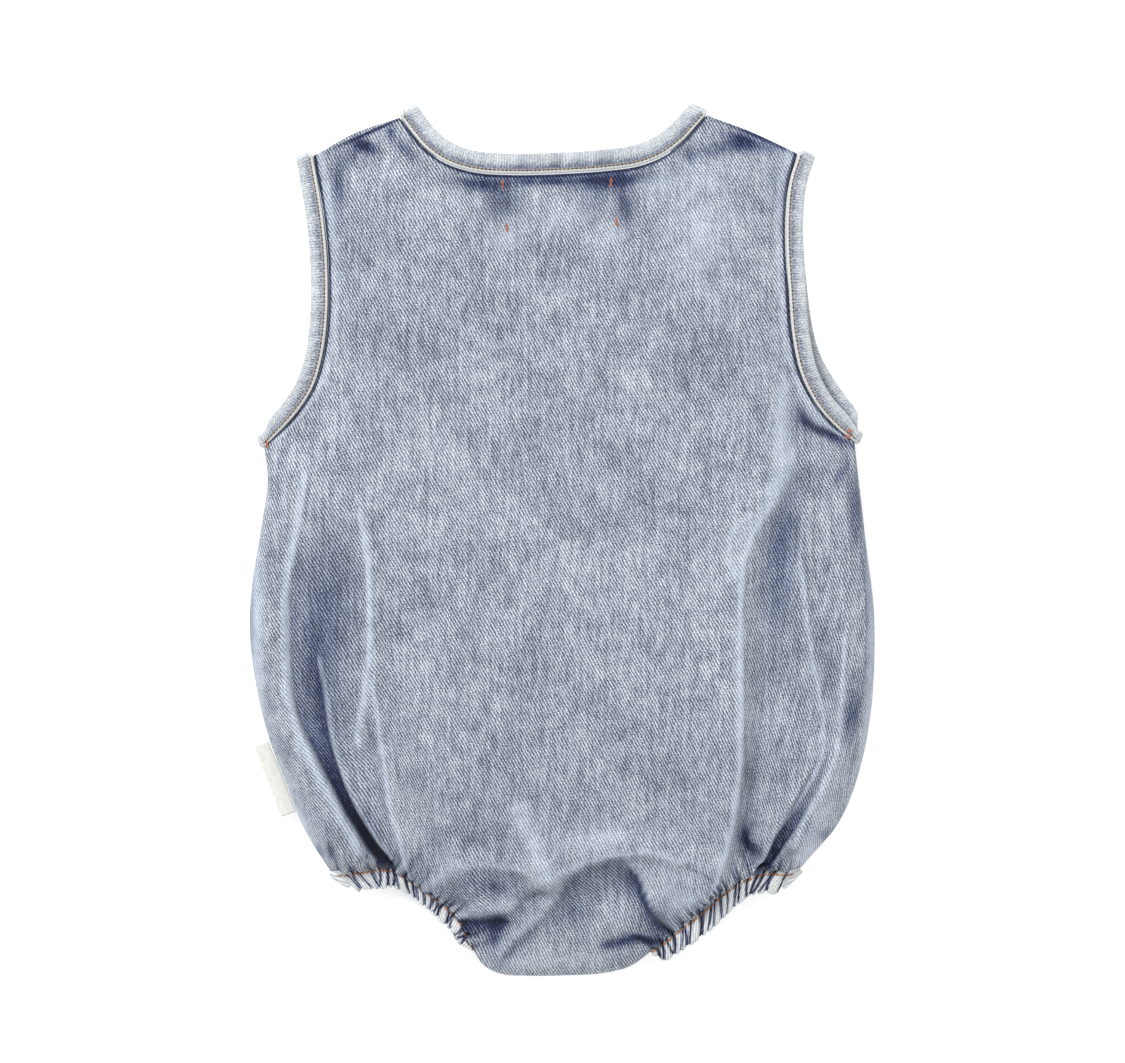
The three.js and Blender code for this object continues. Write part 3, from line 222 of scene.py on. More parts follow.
# Every fold that shows: a run of points, the height at its two ends (below 0 is a trough), how far
# it reaches to the left and to the right of the run, walking along it, and how the wash rubbed it
FOLDS = [
    {"name": "left puff", "from": 0.8, "to": 4.6, "left": 3, "right": 10, "rub": 0.7, "rub_width": 2.2,
     "run": [(-117.5, 30), (-120, 11), (-124, -8), (-126, -26), (-125.4, -50), (-124.6, -68),
             (-121, -86), (-115.5, -97), (-110.5, -107), (-104.6, -119), (-99.4, -129), (-93, -138)]},
    {"name": "left ridge, upper", "from": 2, "to": 2.8, "left": 6, "right": 3,
     "rub": 0.75, "rub_width": 1.9,
     "run": [(-93, 12), (-89.7, -5), (-88.2, -30), (-88, -50), (-90, -67), (-93, -84), (-93, -92)]},
    {"name": "left ridge, lower", "from": 1.5, "to": 5, "left": 15, "right": 2.4,
     "rub": 0.65, "rub_width": 1.3,
     "run": [(-87, -64), (-84.6, -79), (-82.6, -92), (-81, -103), (-78.7, -122), (-74.1, -137.5),
             (-68.1, -152.7), (-64, -160)]},
    {"name": "dent between the left ridges", "from": -0.8, "to": -1.6, "left": 3, "right": 3, "rub": 0,
     "run": [(-88.5, -74), (-88, -84), (-87.5, -94)]},
    {"name": "bank of the left wedge", "from": 1.2, "to": 3.4, "left": 7, "right": 2.4,
     "rub": 0.55, "rub_width": 1.2,
     "run": [(-110.9, -54), (-107.6, -70), (-105.4, -87), (-102, -100), (-97.4, -113), (-91.8, -125),
             (-85.6, -134.6), (-78, -144)]},
    {"name": "dent under the left arm", "from": -2, "to": -1, "left": 3, "right": 3, "rub": 0,
     "run": [(-128.8, 40), (-131, 28), (-129, 12)]},
    {"name": "right ridge", "from": 2, "to": 5, "left": 3, "right": 18, "rub": 0.8, "rub_width": 1.8,
     "run": [(103, 74), (99.5, 55), (102, 38), (103, 28), (97, 18), (89, 6), (83.5, -8), (82, -25),
             (81.6, -55), (82, -90), (80.6, -111), (78.4, -127), (75.6, -141), (68, -157)]},
    {"name": "branch of the right ridge", "from": 0.8, "to": 0.8, "left": 5, "right": 4,
     "rub": 0.6, "rub_width": 2.4,
     "run": [(86, 12), (78, 5), (76, -6), (79, -17)]},
    {"name": "right trough", "from": -2.4, "to": -6, "left": 10, "right": 6, "rub": 0,
     "run": [(109.5, 28), (95.7, -9), (93.4, -45), (92, -82), (87.4, -119), (82.8, -142)]},
    {"name": "right puff", "from": 1, "to": 4.4, "left": 9, "right": 3, "rub": 0.6, "rub_width": 1.3,
     "run": [(129, -45), (127.5, -73), (125.6, -92), (121, -108), (111.6, -126), (106, -140)]},
    {"name": "right ridge between", "from": 1, "to": 2.8, "left": 2.6, "right": 8,
     "rub": 0.5, "rub_width": 1.3,
     "run": [(109.5, -9), (114, -50), (119.5, -82), (118.6, -100), (111, -114.6),
             (101, -129.4), (90, -144)]},
    {"name": "trough under the right arm", "from": -1, "to": -3, "left": 3.4, "right": 3, "rub": 0,
     "run": [(109, 66), (112.6, 56.6), (121, 48.6), (129, 43)]},
    {"name": "ridge under the right arm", "from": 0.6, "to": 1.6, "left": 3, "right": 4, "rub": 0,
     "run": [(110, 46), (116, 38), (126, 30)]},
    {"name": "dent over the right casing", "from": -3, "to": -5, "left": 3.4, "right": 3.4, "rub": 0,
     "run": [(87, -130), (85, -138), (87, -146)]},
    {"name": "seat crease, left", "from": 2.4, "to": 3.6, "left": 8, "right": 3,
     "rub": 0.4, "rub_width": 2.2,
     "run": [(-64, -157.6), (-57, -152.4), (-46, -149), (-30, -148.6), (-18, -150.6), (-10, -155.6)]},
    {"name": "seat crease, middle", "from": 1, "to": 3, "left": 5, "right": 5,
     "rub": 0.42, "rub_width": 4.4,
     "run": [(-19, -124), (-14, -137), (-10.6, -146.3), (-6, -155)]},
    {"name": "seat crease, right", "from": 4, "to": 3, "left": 12, "right": 2.4,
     "rub": 0.7, "rub_width": 1.6,
     "run": [(-6, -156.6), (2.8, -151.4), (11.5, -147), (20.2, -144.4), (31, -142.8), (42, -142.8),
             (49, -145), (54, -147)]},
    {"name": "hollow of the seat", "from": -3, "to": -4, "left": 9, "right": 9, "rub": 0,
     "run": [(-3, -163), (14, -161), (31, -158)]},
    {"name": "seat ridge, slanting", "from": 3, "to": 2.2, "left": 2.4, "right": 7,
     "rub": 0.5, "rub_width": 1.4,
     "run": [(-3, -163), (-9.7, -170.7), (-16.6, -177), (-23.6, -184), (-28, -189.6)]},
    {"name": "pocket by the left casing", "from": -2.4, "to": -3.4, "left": 2.2, "right": 6, "rub": 0,
     "run": [(-46, -175.6), (-36, -174.6), (-27, -174)]},
    {"name": "ridge over the pocket", "from": 3, "to": 3.6, "left": 6, "right": 2.2,
     "rub": 0.5, "rub_width": 2,
     "run": [(-53, -167), (-44, -171), (-34, -169.6), (-25, -168.6), (-21, -165)]},
    {"name": "flap over the right casing", "from": 3.4, "to": 4.8, "left": 11, "right": 2.2,
     "rub": 0.5, "rub_width": 1.6,
     "run": [(31, -147), (36.6, -154), (39, -161), (42, -168), (46, -173), (51, -177)]},
    {"name": "trough beside the flap", "from": -1.6, "to": -4.4, "left": 2.2, "right": 3, "rub": 0,
     "run": [(32.4, -152), (35.4, -158), (38.4, -166), (42, -172.6), (47.6, -179)]},
    {"name": "ridge over the right casing", "from": 3, "to": 3.4, "left": 5, "right": 4,
     "rub": 0.3, "rub_width": 2,
     "run": [(73.6, -145), (66, -158), (62, -164)]},
    {"name": "dent at the crotch, right", "from": -2.6, "to": -3.4, "left": 3, "right": 3, "rub": 0,
     "run": [(21, -185), (30, -182.6), (38, -184.6)]},
]
# A side that reaches less than this falls away at once, and the rub stops short on it
CRISP = {"under": 5, "power": 1.2, "rub_share": 0.4}

# Beside each puff a dark wedge opens between two folds. Each point of its run has half the width there; the
# depths are at the two ends, and the dye is the shade painted into it, most at the deep one.
WEDGES = [
    {"side": "left", "from": -1.6, "to": -9, "dye_and_shade": 1.9, "dye_and_shade_power": 4.6, "soft": 16,
     "run": [(-116, -4), (-118.6, -30), (-117.8, -50), (-116, -71), (-112.4, -85), (-107.4, -99),
             (-101.8, -112.4), (-96.2, -124), (-90.4, -133.4), (-84, -142), (-79.4, -148.4)],
     "half": [5, 7.6, 8, 8, 6.2, 4.3, 3.2, 3, 2.8, 2.9, 3.2]},
    {"side": "right", "from": -1.4, "to": -7, "dye_and_shade": 1.1, "dye_and_shade_power": 2.4, "soft": 0,
     "run": [(122, -88), (119.4, -98), (115.6, -108), (110.2, -119.4), (104.4, -130), (98.4, -139),
             (92.6, -147), (90.4, -151)],
     "half": [1.6, 2.6, 3.3, 3.7, 3.7, 3.4, 3.2, 3]},
]
WEDGE_WALL = 1.5
WEDGE_START = 0.25
WEDGE_SHADE_AT_START = 0.03
WEDGE_CRISP_FROM = 0.55
RUN_POINTS = 16

# How far the gathered cloth hangs out over the casings, by the share of the leg seam from the side
OVERHANGS = [
    {"leg": "left", "at": 0.16, "width": 0.08, "reach": 5},
    {"leg": "left", "at": 0.58, "width": 0.16, "reach": 7},
    {"leg": "right", "at": 0.6, "width": 0.14, "reach": 5},
    {"leg": "right", "at": 0.22, "width": 0.08, "reach": 4},
]
OVERHANG_DEPTH = 17

# Where the wash left more indigo, and where shade is painted in as dark patches in the troughs, dents, the
# pocket and beside the bindings: place, reach and turn
DYE_AND_SHADE_PATCHES = [
    {"x": -36, "y": 163.6, "long": 13, "wide": 3, "lies": 172, "dye_and_shade": 0.6},
    {"x": -8, "y": 165.6, "long": 34, "wide": 2.2, "lies": 1, "dye_and_shade": 0.75},
    {"x": 25, "y": 166.4, "long": 14, "wide": 3.6, "lies": 6, "dye_and_shade": 0.8},
    {"x": -27, "y": 154.4, "long": 8, "wide": 5, "lies": 10, "dye_and_shade": 0.6},
    {"x": 28.6, "y": 155, "long": 10, "wide": 3.2, "lies": 100, "dye_and_shade": 0.7},
    {"x": 15, "y": 158, "long": 9, "wide": 6, "lies": 70, "dye_and_shade": 0.35},
    {"x": -103, "y": 165, "long": 13, "wide": 3, "lies": 92, "dye_and_shade": 0.5},
    {"x": -91.3, "y": 182.6, "long": 6, "wide": 2.4, "lies": 155, "dye_and_shade": 1.2},
    {"x": -97, "y": 178, "long": 6, "wide": 3, "lies": 50, "dye_and_shade": 0.45},
    {"x": -79, "y": 188.6, "long": 4.5, "wide": 2, "lies": 110, "dye_and_shade": 0.6},
    {"x": -71.5, "y": 180, "long": 7, "wide": 2.4, "lies": 140, "dye_and_shade": 0.55},
    {"x": 83.3, "y": 184.4, "long": 8, "wide": 3.6, "lies": 165, "dye_and_shade": 1.2},
    {"x": 70.4, "y": 180.3, "long": 12, "wide": 2.8, "lies": 10, "dye_and_shade": 0.55},
    {"x": 59, "y": 177, "long": 4, "wide": 2, "lies": 120, "dye_and_shade": 0.5},
    {"x": 96, "y": 181.6, "long": 6, "wide": 3, "lies": 160, "dye_and_shade": 0.35},
    {"x": 98.4, "y": 164, "long": 16, "wide": 3.4, "lies": 88, "dye_and_shade": 0.25},
    {"x": -142, "y": -36, "long": 20, "wide": 1.6, "lies": 91, "dye_and_shade": 0.5},
    {"x": 112.5, "y": 56, "long": 5, "wide": 2.6, "lies": 130, "dye_and_shade": 1.0},
    {"x": 122, "y": 49.4, "long": 10, "wide": 1.8, "lies": 156, "dye_and_shade": 1.1},
    {"x": 128, "y": 31, "long": 6, "wide": 2, "lies": 60, "dye_and_shade": 0.5},
    {"x": 134, "y": 12, "long": 16, "wide": 2.6, "lies": 95, "dye_and_shade": 0.5},
    {"x": 132, "y": -80, "long": 11, "wide": 3.6, "lies": 82, "dye_and_shade": 0.6},
    {"x": 83.6, "y": -134.4, "long": 5, "wide": 2.2, "lies": 102, "dye_and_shade": 0.9},
    {"x": 87.4, "y": -140.4, "long": 6, "wide": 2.2, "lies": 142, "dye_and_shade": 0.9},
    {"x": 121, "y": -135, "long": 5, "wide": 2.6, "lies": 160, "dye_and_shade": 0.5},
    {"x": -38, "y": -174.2, "long": 11, "wide": 2, "lies": 8, "dye_and_shade": 0.62},
    {"x": -30, "y": -179, "long": 8, "wide": 3.6, "lies": 80, "dye_and_shade": 0.85},
    {"x": -46, "y": -178, "long": 4, "wide": 3, "lies": 60, "dye_and_shade": 0.9},
    {"x": -29, "y": -158.6, "long": 14, "wide": 3.4, "lies": 165, "dye_and_shade": 0.32},
    {"x": 27, "y": -184.6, "long": 8, "wide": 2.2, "lies": 12, "dye_and_shade": 0.8},
    {"x": 41, "y": -183.4, "long": 8, "wide": 1.1, "lies": 164, "dye_and_shade": 1.6},
    {"x": 46.6, "y": -174, "long": 8, "wide": 1.2, "lies": 130, "dye_and_shade": 1.7},
    {"x": -18, "y": -182.8, "long": 12, "wide": 2, "lies": 44, "dye_and_shade": 0.36},
    {"x": -26.4, "y": -192, "long": 6, "wide": 1.8, "lies": 62, "dye_and_shade": 0.34},
    {"x": 137, "y": 41.6, "long": 4, "wide": 1.6, "lies": 140, "dye_and_shade": 1.1},
    {"x": 6, "y": -171, "long": 9, "wide": 4.4, "lies": 20, "dye_and_shade": 0.3},
    {"x": 20, "y": -156, "long": 16, "wide": 8, "lies": 30, "dye_and_shade": 0.08},
    {"x": 36.4, "y": -159, "long": 10, "wide": 1.3, "lies": 112, "dye_and_shade": 0.9},
    {"x": -112, "y": -142.4, "long": 3, "wide": 2, "lies": 100, "dye_and_shade": 0.8},
    {"x": -105.6, "y": -142, "long": 3.4, "wide": 1.6, "lies": 100, "dye_and_shade": 0.9},
    {"x": -110, "y": -62, "long": 38, "wide": 9, "lies": 95, "dye_and_shade": 0.5},
    {"x": -102, "y": -24, "long": 26, "wide": 10, "lies": 95, "dye_and_shade": 0.25},
    {"x": 101, "y": -8, "long": 30, "wide": 7, "lies": 84, "dye_and_shade": 0.5},
    {"x": 107, "y": -46, "long": 22, "wide": 10, "lies": 88, "dye_and_shade": 0.1},
    {"x": 121, "y": -60, "long": 18, "wide": 9, "lies": 88, "dye_and_shade": 0.14},
    {"x": -112, "y": -22, "long": 26, "wide": 16, "lies": 90, "dye_and_shade": 0.12},
    {"x": -90, "y": 148, "long": 22, "wide": 13, "lies": 6, "dye_and_shade": 0.13},
    {"x": -88, "y": -131, "long": 14, "wide": 5, "lies": 120, "dye_and_shade": 0.4},
]
# Where the wash rubbed the cloth pale and smooth
RUBS = [
    {"x": 100.6, "y": 52, "long": 24, "wide": 4.6, "lies": 90, "rub": 0.6},
    {"x": 98, "y": 24, "long": 14, "wide": 3.6, "lies": 62, "rub": 0.5},
    {"x": 84, "y": 4, "long": 9, "wide": 3.4, "lies": 50, "rub": 0.45},
    {"x": -139.6, "y": -40, "long": 60, "wide": 3.2, "lies": 91, "rub": 0.6},
    {"x": -130.5, "y": -104, "long": 26, "wide": 4, "lies": 112, "rub": 0.55},
    {"x": -118, "y": -133, "long": 14, "wide": 5, "lies": 118, "rub": 0.5},
    {"x": 116, "y": 58, "long": 5, "wide": 3, "lies": 130, "rub": 0.5},
    {"x": -25, "y": 138.6, "long": 7, "wide": 3.6, "lies": 10, "rub": 0.5},
    {"x": 24, "y": 141, "long": 8, "wide": 3.6, "lies": 10, "rub": 0.4},
    {"x": 44, "y": 164, "long": 9, "wide": 5, "lies": 20, "rub": 0.35},
    {"x": 100, "y": 168, "long": 16, "wide": 7, "lies": 100, "rub": 0.2},
    {"x": 113, "y": -143, "long": 10, "wide": 5, "lies": 60, "rub": 0.5},
    {"x": 119, "y": -124, "long": 15, "wide": 4, "lies": 64, "rub": 0.4},
    {"x": 0, "y": 150, "long": 34, "wide": 9, "lies": 2, "rub": 0.16},
    {"x": 62, "y": 146, "long": 30, "wide": 14, "lies": 100, "rub": 0.32},
    {"x": -58, "y": -168, "long": 6, "wide": 2.6, "lies": 140, "rub": 0.5},
    {"x": 51, "y": -158, "long": 13, "wide": 8, "lies": 100, "rub": 0.32},
    {"x": 14, "y": -138, "long": 32, "wide": 6, "lies": 8, "rub": 0.3},
    {"x": 57, "y": -166, "long": 9, "wide": 4, "lies": 20, "rub": 0.4},
    {"x": -8, "y": -193, "long": 34, "wide": 3, "lies": 1, "rub": 0.3},
]
# Where a fold turns the cloth against its cut: place, reach, lie and turn, all in degrees
GRAIN_TURNS = [
    {"x": -120, "y": -88, "long": 44, "wide": 17, "lies": 100, "turn": 25},
    {"x": -122, "y": -20, "long": 28, "wide": 14, "lies": 92, "turn": 10},
    {"x": -92, "y": -92, "long": 26, "wide": 11, "lies": 98, "turn": 26},
    {"x": -38, "y": -166, "long": 15, "wide": 9, "lies": 150, "turn": 38},
    {"x": 14, "y": -161, "long": 24, "wide": 10, "lies": 5, "turn": 24},
    {"x": 114, "y": -75, "long": 72, "wide": 26, "lies": 84, "turn": -14},
    {"x": 60, "y": -155, "long": 16, "wide": 13, "lies": 60, "turn": -22},
]

# How strongly hollows, furrows and bound edges are darkened, with the indigo that they keep and painted
# shade, and how crests wear
BACK_WEAR_AND_SHADE = {
    "hollow_dye_and_shade": 0.18, "hollow_most": 0.5, "furrow_dye_and_shade": 2.4, "crest": 0.1, "crest_most": 0.3,
    "line": 1.4, "line_fade": 0.8, "line_dye_and_shade": 1.1, "stripe_at": 3.4, "stripe_width": 1.6, "stripe": 0.4,
    "shoulder_line": 1.5,
}
# The dark lines along the shoulder seams: the middle of each and how far it reaches
SHOULDER_LINES = [{"x": -88, "reach": 14}, {"x": 93, "reach": 15}]
# Columns and rows of the back's mesh, closer together where the folds are
BACK_MESH = {
    "rim_share": 0.02, "rim": 10, "sides_share": 0.3, "side": 80, "middle": 60,
    "top_share": 0.013, "top_rows": 8, "arm_rows": 42, "side_rows": 148, "crowding": 1.25,
}
# How far in from an edge the folds fade, and how softly one edge's roll goes over into the next
FOLD_FADE = {"side": 9, "hem": 3.6, "top": 14}
ARM_BLEND = {"before": 0.04, "width": 0.1}
CROTCH_BLEND = {"before": 0.02, "width": 0.05}
CASING_BLEND = {"corner": 0.12, "crotch": 0.05}
HEM_POINTS = 241
ROLL_FULLNESS = 0.3


def smooth(t):
    s = np.clip(t, 0, 1)
    return s * s * (3 - 2 * s)


def quarter_round(t):
    return np.sqrt(np.clip(1 - (1 - np.clip(t, 0, 1)) ** 2, 0, 1))


def half_round(t):
    """A rise like a quarter round, but slower from its edge."""
    s = np.clip(t, 0, 1)
    return (1 - ROLL_FULLNESS) * s * (2 - s) + ROLL_FULLNESS * quarter_round(s)


def bump(t):
    return np.exp(-t * t)


def unit(vectors):
    vectors = np.asarray(vectors, float)
    return vectors / np.linalg.norm(vectors, axis=-1, keepdims=True)


def from_table(rows, key, column, at):
    """A smooth value from a table's column at each place, without overshoot between its rows."""
    order = sorted(rows, key=lambda row: row[key])
    x = np.array([row[key] for row in order], float)
    y = np.array([row[column] for row in order], float)
    steps = np.diff(x)
    rise = np.diff(y) / steps
    slope = np.zeros(len(x))
    for k in range(1, len(x) - 1):
        if rise[k - 1] * rise[k] > 0:
            slope[k] = 2 * rise[k - 1] * rise[k] / (rise[k - 1] + rise[k])
    place = np.clip(at, x[0], x[-1])
    i = np.clip(np.searchsorted(x, place) - 1, 0, len(x) - 2)
    t = (place - x[i]) / steps[i]
    t2, t3 = t * t, t * t * t
    start = (2 * t3 - 3 * t2 + 1) * y[i] + (t3 - 2 * t2 + t) * steps[i] * slope[i]
    return start + (3 * t2 - 2 * t3) * y[i + 1] + (t3 - t2) * steps[i] * slope[i + 1]


def seam_curve(points, samples=40):
    """A smooth curve through [x, y] points, read at shares of its length."""
    p = np.array(points, float)
    ends = np.vstack([2 * p[0] - p[1], p, 2 * p[-1] - p[-2]])
    places = []
    for k in range(len(p) - 1):
        p0, p1, p2, p3 = ends[k:k + 4]
        d0, d1, d2 = (math.sqrt(np.linalg.norm(b - a)) for a, b in ((p0, p1), (p1, p2), (p2, p3)))
        m1 = ((p1 - p0) / d0 - (p2 - p0) / (d0 + d1) + (p2 - p1) / d1) * d1
        m2 = ((p2 - p1) / d1 - (p3 - p1) / (d1 + d2) + (p3 - p2) / d2) * d1
        t = np.linspace(0, 1, samples, endpoint=False)[:, None]
        t2, t3 = t * t, t * t * t
        places.append(
            (2 * t3 - 3 * t2 + 1) * p1 + (t3 - 2 * t2 + t) * m1
            + (3 * t2 - 2 * t3) * p2 + (t3 - t2) * m2
        )
    line = np.vstack(places + [p[-1:]])
    length = np.concatenate([[0], np.cumsum(np.linalg.norm(np.diff(line, axis=0), axis=1))])

    def at(t):
        way = np.clip(t, 0, 1) * length[-1]
        return np.stack([np.interp(way, length, line[:, 0]), np.interp(way, length, line[:, 1])], -1)

    return at


def joined(*parts):
    """Curves end to end, each over its own share of 0 to 1."""

    def at(t):
        t = np.asarray(t, float)
        out = np.zeros(t.shape + (2,))
        start = 0.0
        for curve, share in parts:
            here = (t >= start - 1e-9) if start > 0 else np.ones(t.shape, bool)
            out[here] = curve(((t - start) / share)[here])
            start += share
        return out

    return at


def patch(top, bottom, left, right):
    """A surface in plan between four edges."""
    corner = [top(np.array(0.0)), top(np.array(1.0)), bottom(np.array(0.0)), bottom(np.array(1.0))]

    def at(u, v):
        u, v = np.broadcast_arrays(u, v)
        a, b = u[..., None], v[..., None]
        out = top(u) * (1 - b) + bottom(u) * b + left(v) * (1 - a) + right(v) * a
        out = out - corner[0] * (1 - a) * (1 - b) - corner[1] * a * (1 - b)
        return out - corner[2] * (1 - a) * b - corner[3] * a * b

    return at


def column(rows, key):
    return [row[key] for row in rows]


def top_edge(neck, shoulder_rise):
    middle = (SHOULDER_MIDDLE_LEFT[0], SHOULDER_MIDDLE_LEFT[1] + shoulder_rise)
    return joined(
        (seam_curve([SHOULDER_TIP_LEFT, middle, NECK_POINT_LEFT]), SHOULDER_SHARE),
        (seam_curve(neck), 1 - 2 * SHOULDER_SHARE),
        (seam_curve([NECK_POINT_RIGHT, SHOULDER_MIDDLE_RIGHT, SHOULDER_TIP_RIGHT]), SHOULDER_SHARE),
    )


def bottom_edge(left_casing, crotch, right_casing):
    return joined(
        (seam_curve(column(left_casing, "seam")), LEG_SHARE),
        (seam_curve(crotch), 1 - 2 * LEG_SHARE),
        (seam_curve(column(right_casing, "seam")[::-1]), LEG_SHARE),
    )


def side_edge(armhole, side):
    return joined((seam_curve(armhole), ARM_SHARE), (seam_curve(side), 1 - ARM_SHARE))


back_patch = patch(
    top_edge(BACK_NECK, 0),
    bottom_edge(CASING_LEFT_BACK, CROTCH_FOLD, CASING_RIGHT_BACK),
    side_edge(ARMHOLE_LEFT, SIDE_LEFT),
    side_edge(ARMHOLE_RIGHT, SIDE_RIGHT),
)
fold_lines, wedge_lines = (
    [seam_curve(row["run"])(np.linspace(0, 1, RUN_POINTS + 1)) for row in rows] for rows in (FOLDS, WEDGES))
lower_edge = back_patch(np.linspace(0, 1, HEM_POINTS), np.ones(HEM_POINTS))
lower_way = unit(np.gradient(lower_edge, axis=0))
lower_out = np.column_stack([lower_way[:, 1], -lower_way[:, 0]])


def from_line(line, places):
    """How far each place lies from a line, on which side, how far along, and the nearest point."""
    best = np.full(len(places), np.inf)
    left = np.zeros(len(places), bool)
    along = np.zeros(len(places))
    nearest = np.zeros((len(places), 2))
    steps = len(line) - 1
    for k in range(steps):
        a, way = line[k], line[k + 1] - line[k]
        off = places - a
        t = np.clip((off @ way) / (way @ way), 0, 1)
        gap = np.linalg.norm(off - t[:, None] * way, axis=1)
        closer = gap < best
        best[closer] = gap[closer]
        left[closer] = (way[0] * off[:, 1] - way[1] * off[:, 0] > 0)[closer]
        along[closer] = (k + t[closer]) / steps
        nearest[closer] = a + t[closer, None] * way
    return best, left, along, nearest


def fold_shapes(places):
    """The height that the folds add at each place, and how far their crests are rubbed pale."""
    height = np.zeros(len(places))
    rub = np.zeros(len(places))
    for fold, line in zip(FOLDS, fold_lines):
        gap, left, along, _ = from_line(line, places)
        reach = np.where(left, fold["left"], fold["right"])
        crisp = reach < CRISP["under"]
        fall = np.exp(-(gap / reach) ** np.where(crisp, CRISP["power"], 2))
        height += (fold["from"] + (fold["to"] - fold["from"]) * along) * fall
        if fold["rub"] > 0:
            band = fold["rub_width"] * np.where(crisp, CRISP["rub_share"], 1)
            rub = np.maximum(rub, fold["rub"] * bump(gap / band))
    return height, rub


def wedge_shapes(places):
    """The depth of the wedges at each place, and the shade painted into them."""
    depth = np.zeros(len(places))
    dye_and_shade = np.zeros(len(places))
    for wedge, line in zip(WEDGES, wedge_lines):
        gap, left, along, _ = from_line(line, places)
        # The half widths belong to the points of the run, so each point's share of the line is read
        at_point = [from_line(line, np.array([point], float))[2][0] for point in wedge["run"]]
        half = np.interp(along, at_point, wedge["half"])
        wall = WEDGE_WALL + np.where(left, wedge["soft"], 0) * (1 - smooth(along / WEDGE_CRISP_FROM))
        inside = smooth((half - gap) / wall + 0.5) * smooth(along / WEDGE_START)
        depth += inside * (wedge["from"] + (wedge["to"] - wedge["from"]) * along ** 2)
        # Painted shade: the wedge is darkened more toward its deep end
        dye_and_shade += inside * wedge["dye_and_shade"] * (WEDGE_SHADE_AT_START + (1 - WEDGE_SHADE_AT_START) * along ** wedge["dye_and_shade_power"])
    return depth, dye_and_shade


def patches(places, rows, value):
    """The sum of soft oval patches at each place."""
    total = np.zeros(places.shape[:-1])
    for row in rows:
        lies = math.radians(row["lies"])
        off = places - np.array([row["x"], row["y"]])
        a = off @ np.array([math.cos(lies), math.sin(lies)])
        b = off @ np.array([-math.sin(lies), math.cos(lies)])
        total += row[value] * bump(np.hypot(a / row["long"], b / row["wide"]))
    return total


def casing_height(rows, at):
    heights = [{"share": i / (len(rows) - 1), "height": row["height"]} for i, row in enumerate(rows)]
    return from_table(heights, "share", "height", at)


def leg_shares(u):
    """The share of the left and the right leg's seam that each place meets, and where it meets one."""
    return np.clip(u / LEG_SHARE, 0, 1), np.clip((1 - u) / LEG_SHARE, 0, 1), u < LEG_SHARE, u > 1 - LEG_SHARE


def back_bottom_height(u):
    left_at, right_at, on_left, on_right = leg_shares(u)
    corner = EDGE_HEIGHTS[-1]["back"]
    end = CASING_LEFT_BACK[-1]["height"]
    inward = np.minimum(u - LEG_SHARE, 1 - LEG_SHARE - u) / CASING_BLEND["crotch"]
    height = end + (CROTCH_FOLD_HEIGHT - end) * smooth(inward)
    for rows, at, here in ((CASING_LEFT_BACK, left_at, on_left), (CASING_RIGHT_BACK, right_at, on_right)):
        casing = corner + (casing_height(rows, at) - corner) * smooth(at / CASING_BLEND["corner"])
        height = np.where(here, casing, height)
    return height


def overhang(u, to_hem):
    left_at, right_at, on_left, on_right = leg_shares(u)
    reach = np.zeros(len(u))
    for row in OVERHANGS:
        at, here = (left_at, on_left) if row["leg"] == "left" else (right_at, on_right)
        reach += np.where(here, row["reach"] * bump((at - row["at"]) / row["width"]), 0)
    t = np.clip(to_hem / OVERHANG_DEPTH, 0, 1)
    return reach * np.sin(math.pi * t) ** 2


# Where each gather of the leg casings lies, as a share of its seam, with its slant, width and depth
GATHERS_PER_SIDE = 21
GATHER_SPACING = 1 / GATHERS_PER_SIDE
CASING_THICKNESS = 3.2
# How deep the casings' grooves are, how high the cloth between them stands and how far the edge draws in at
# them, with their darkening, part indigo and part painted shade, and the crests' rub
GROOVE = {
    "deep": 1.9, "puff": 0.9, "puff_level": 0.5, "scallop": 1.5, "crest_out": 0.3, "edge_from": 0.6,
    "dye_and_shade": 3.2, "dye_and_shade_power": 1.7, "rub": 1.0, "rub_power": 3, "end_rub": 1.0, "front_share": 0.25,
}
# The least and the most of what differs from gather to gather; the first five are in spacings
GATHER = {
    "shift": (-0.42, 0.42), "slant": (-0.6, 1.1), "bend": (-0.5, 0.5), "width": (0.1, 0.36),
    "fork": (0.4, 0.9), "depth": (0.65, 1.0), "from_seam": (0.6, 1.0), "from_edge": (0.45, 1.0),
    "fork_depth": (0.0, 0.9),
}
GATHERS_FROM = 0.04
GATHER_SEED = 7
rng = np.random.default_rng(GATHER_SEED)


def gather_rows():
    rows = []
    stretch = 1 - GATHERS_FROM
    for k in range(GATHERS_PER_SIDE):
        middle = GATHERS_FROM + stretch * (k + 0.5) / GATHERS_PER_SIDE
        rows.append({
            "at": middle + rng.uniform(*GATHER["shift"]) * stretch / GATHERS_PER_SIDE,
            "slant": rng.uniform(*GATHER["slant"]) * GATHER_SPACING,
            "bend": rng.uniform(*GATHER["bend"]) * GATHER_SPACING,
            "width": rng.uniform(*GATHER["width"]) * GATHER_SPACING,
            "depth": rng.uniform(*GATHER["depth"]),
            "from_seam": rng.uniform(*GATHER["from_seam"]),
            "from_edge": rng.uniform(*GATHER["from_edge"]),
            "fork": rng.choice((-1, 1)) * rng.uniform(*GATHER["fork"]) * GATHER_SPACING,
            "fork_depth": rng.choice(GATHER["fork_depth"]),
        })
    return rows


gathers = {"left": gather_rows(), "right": gather_rows()}


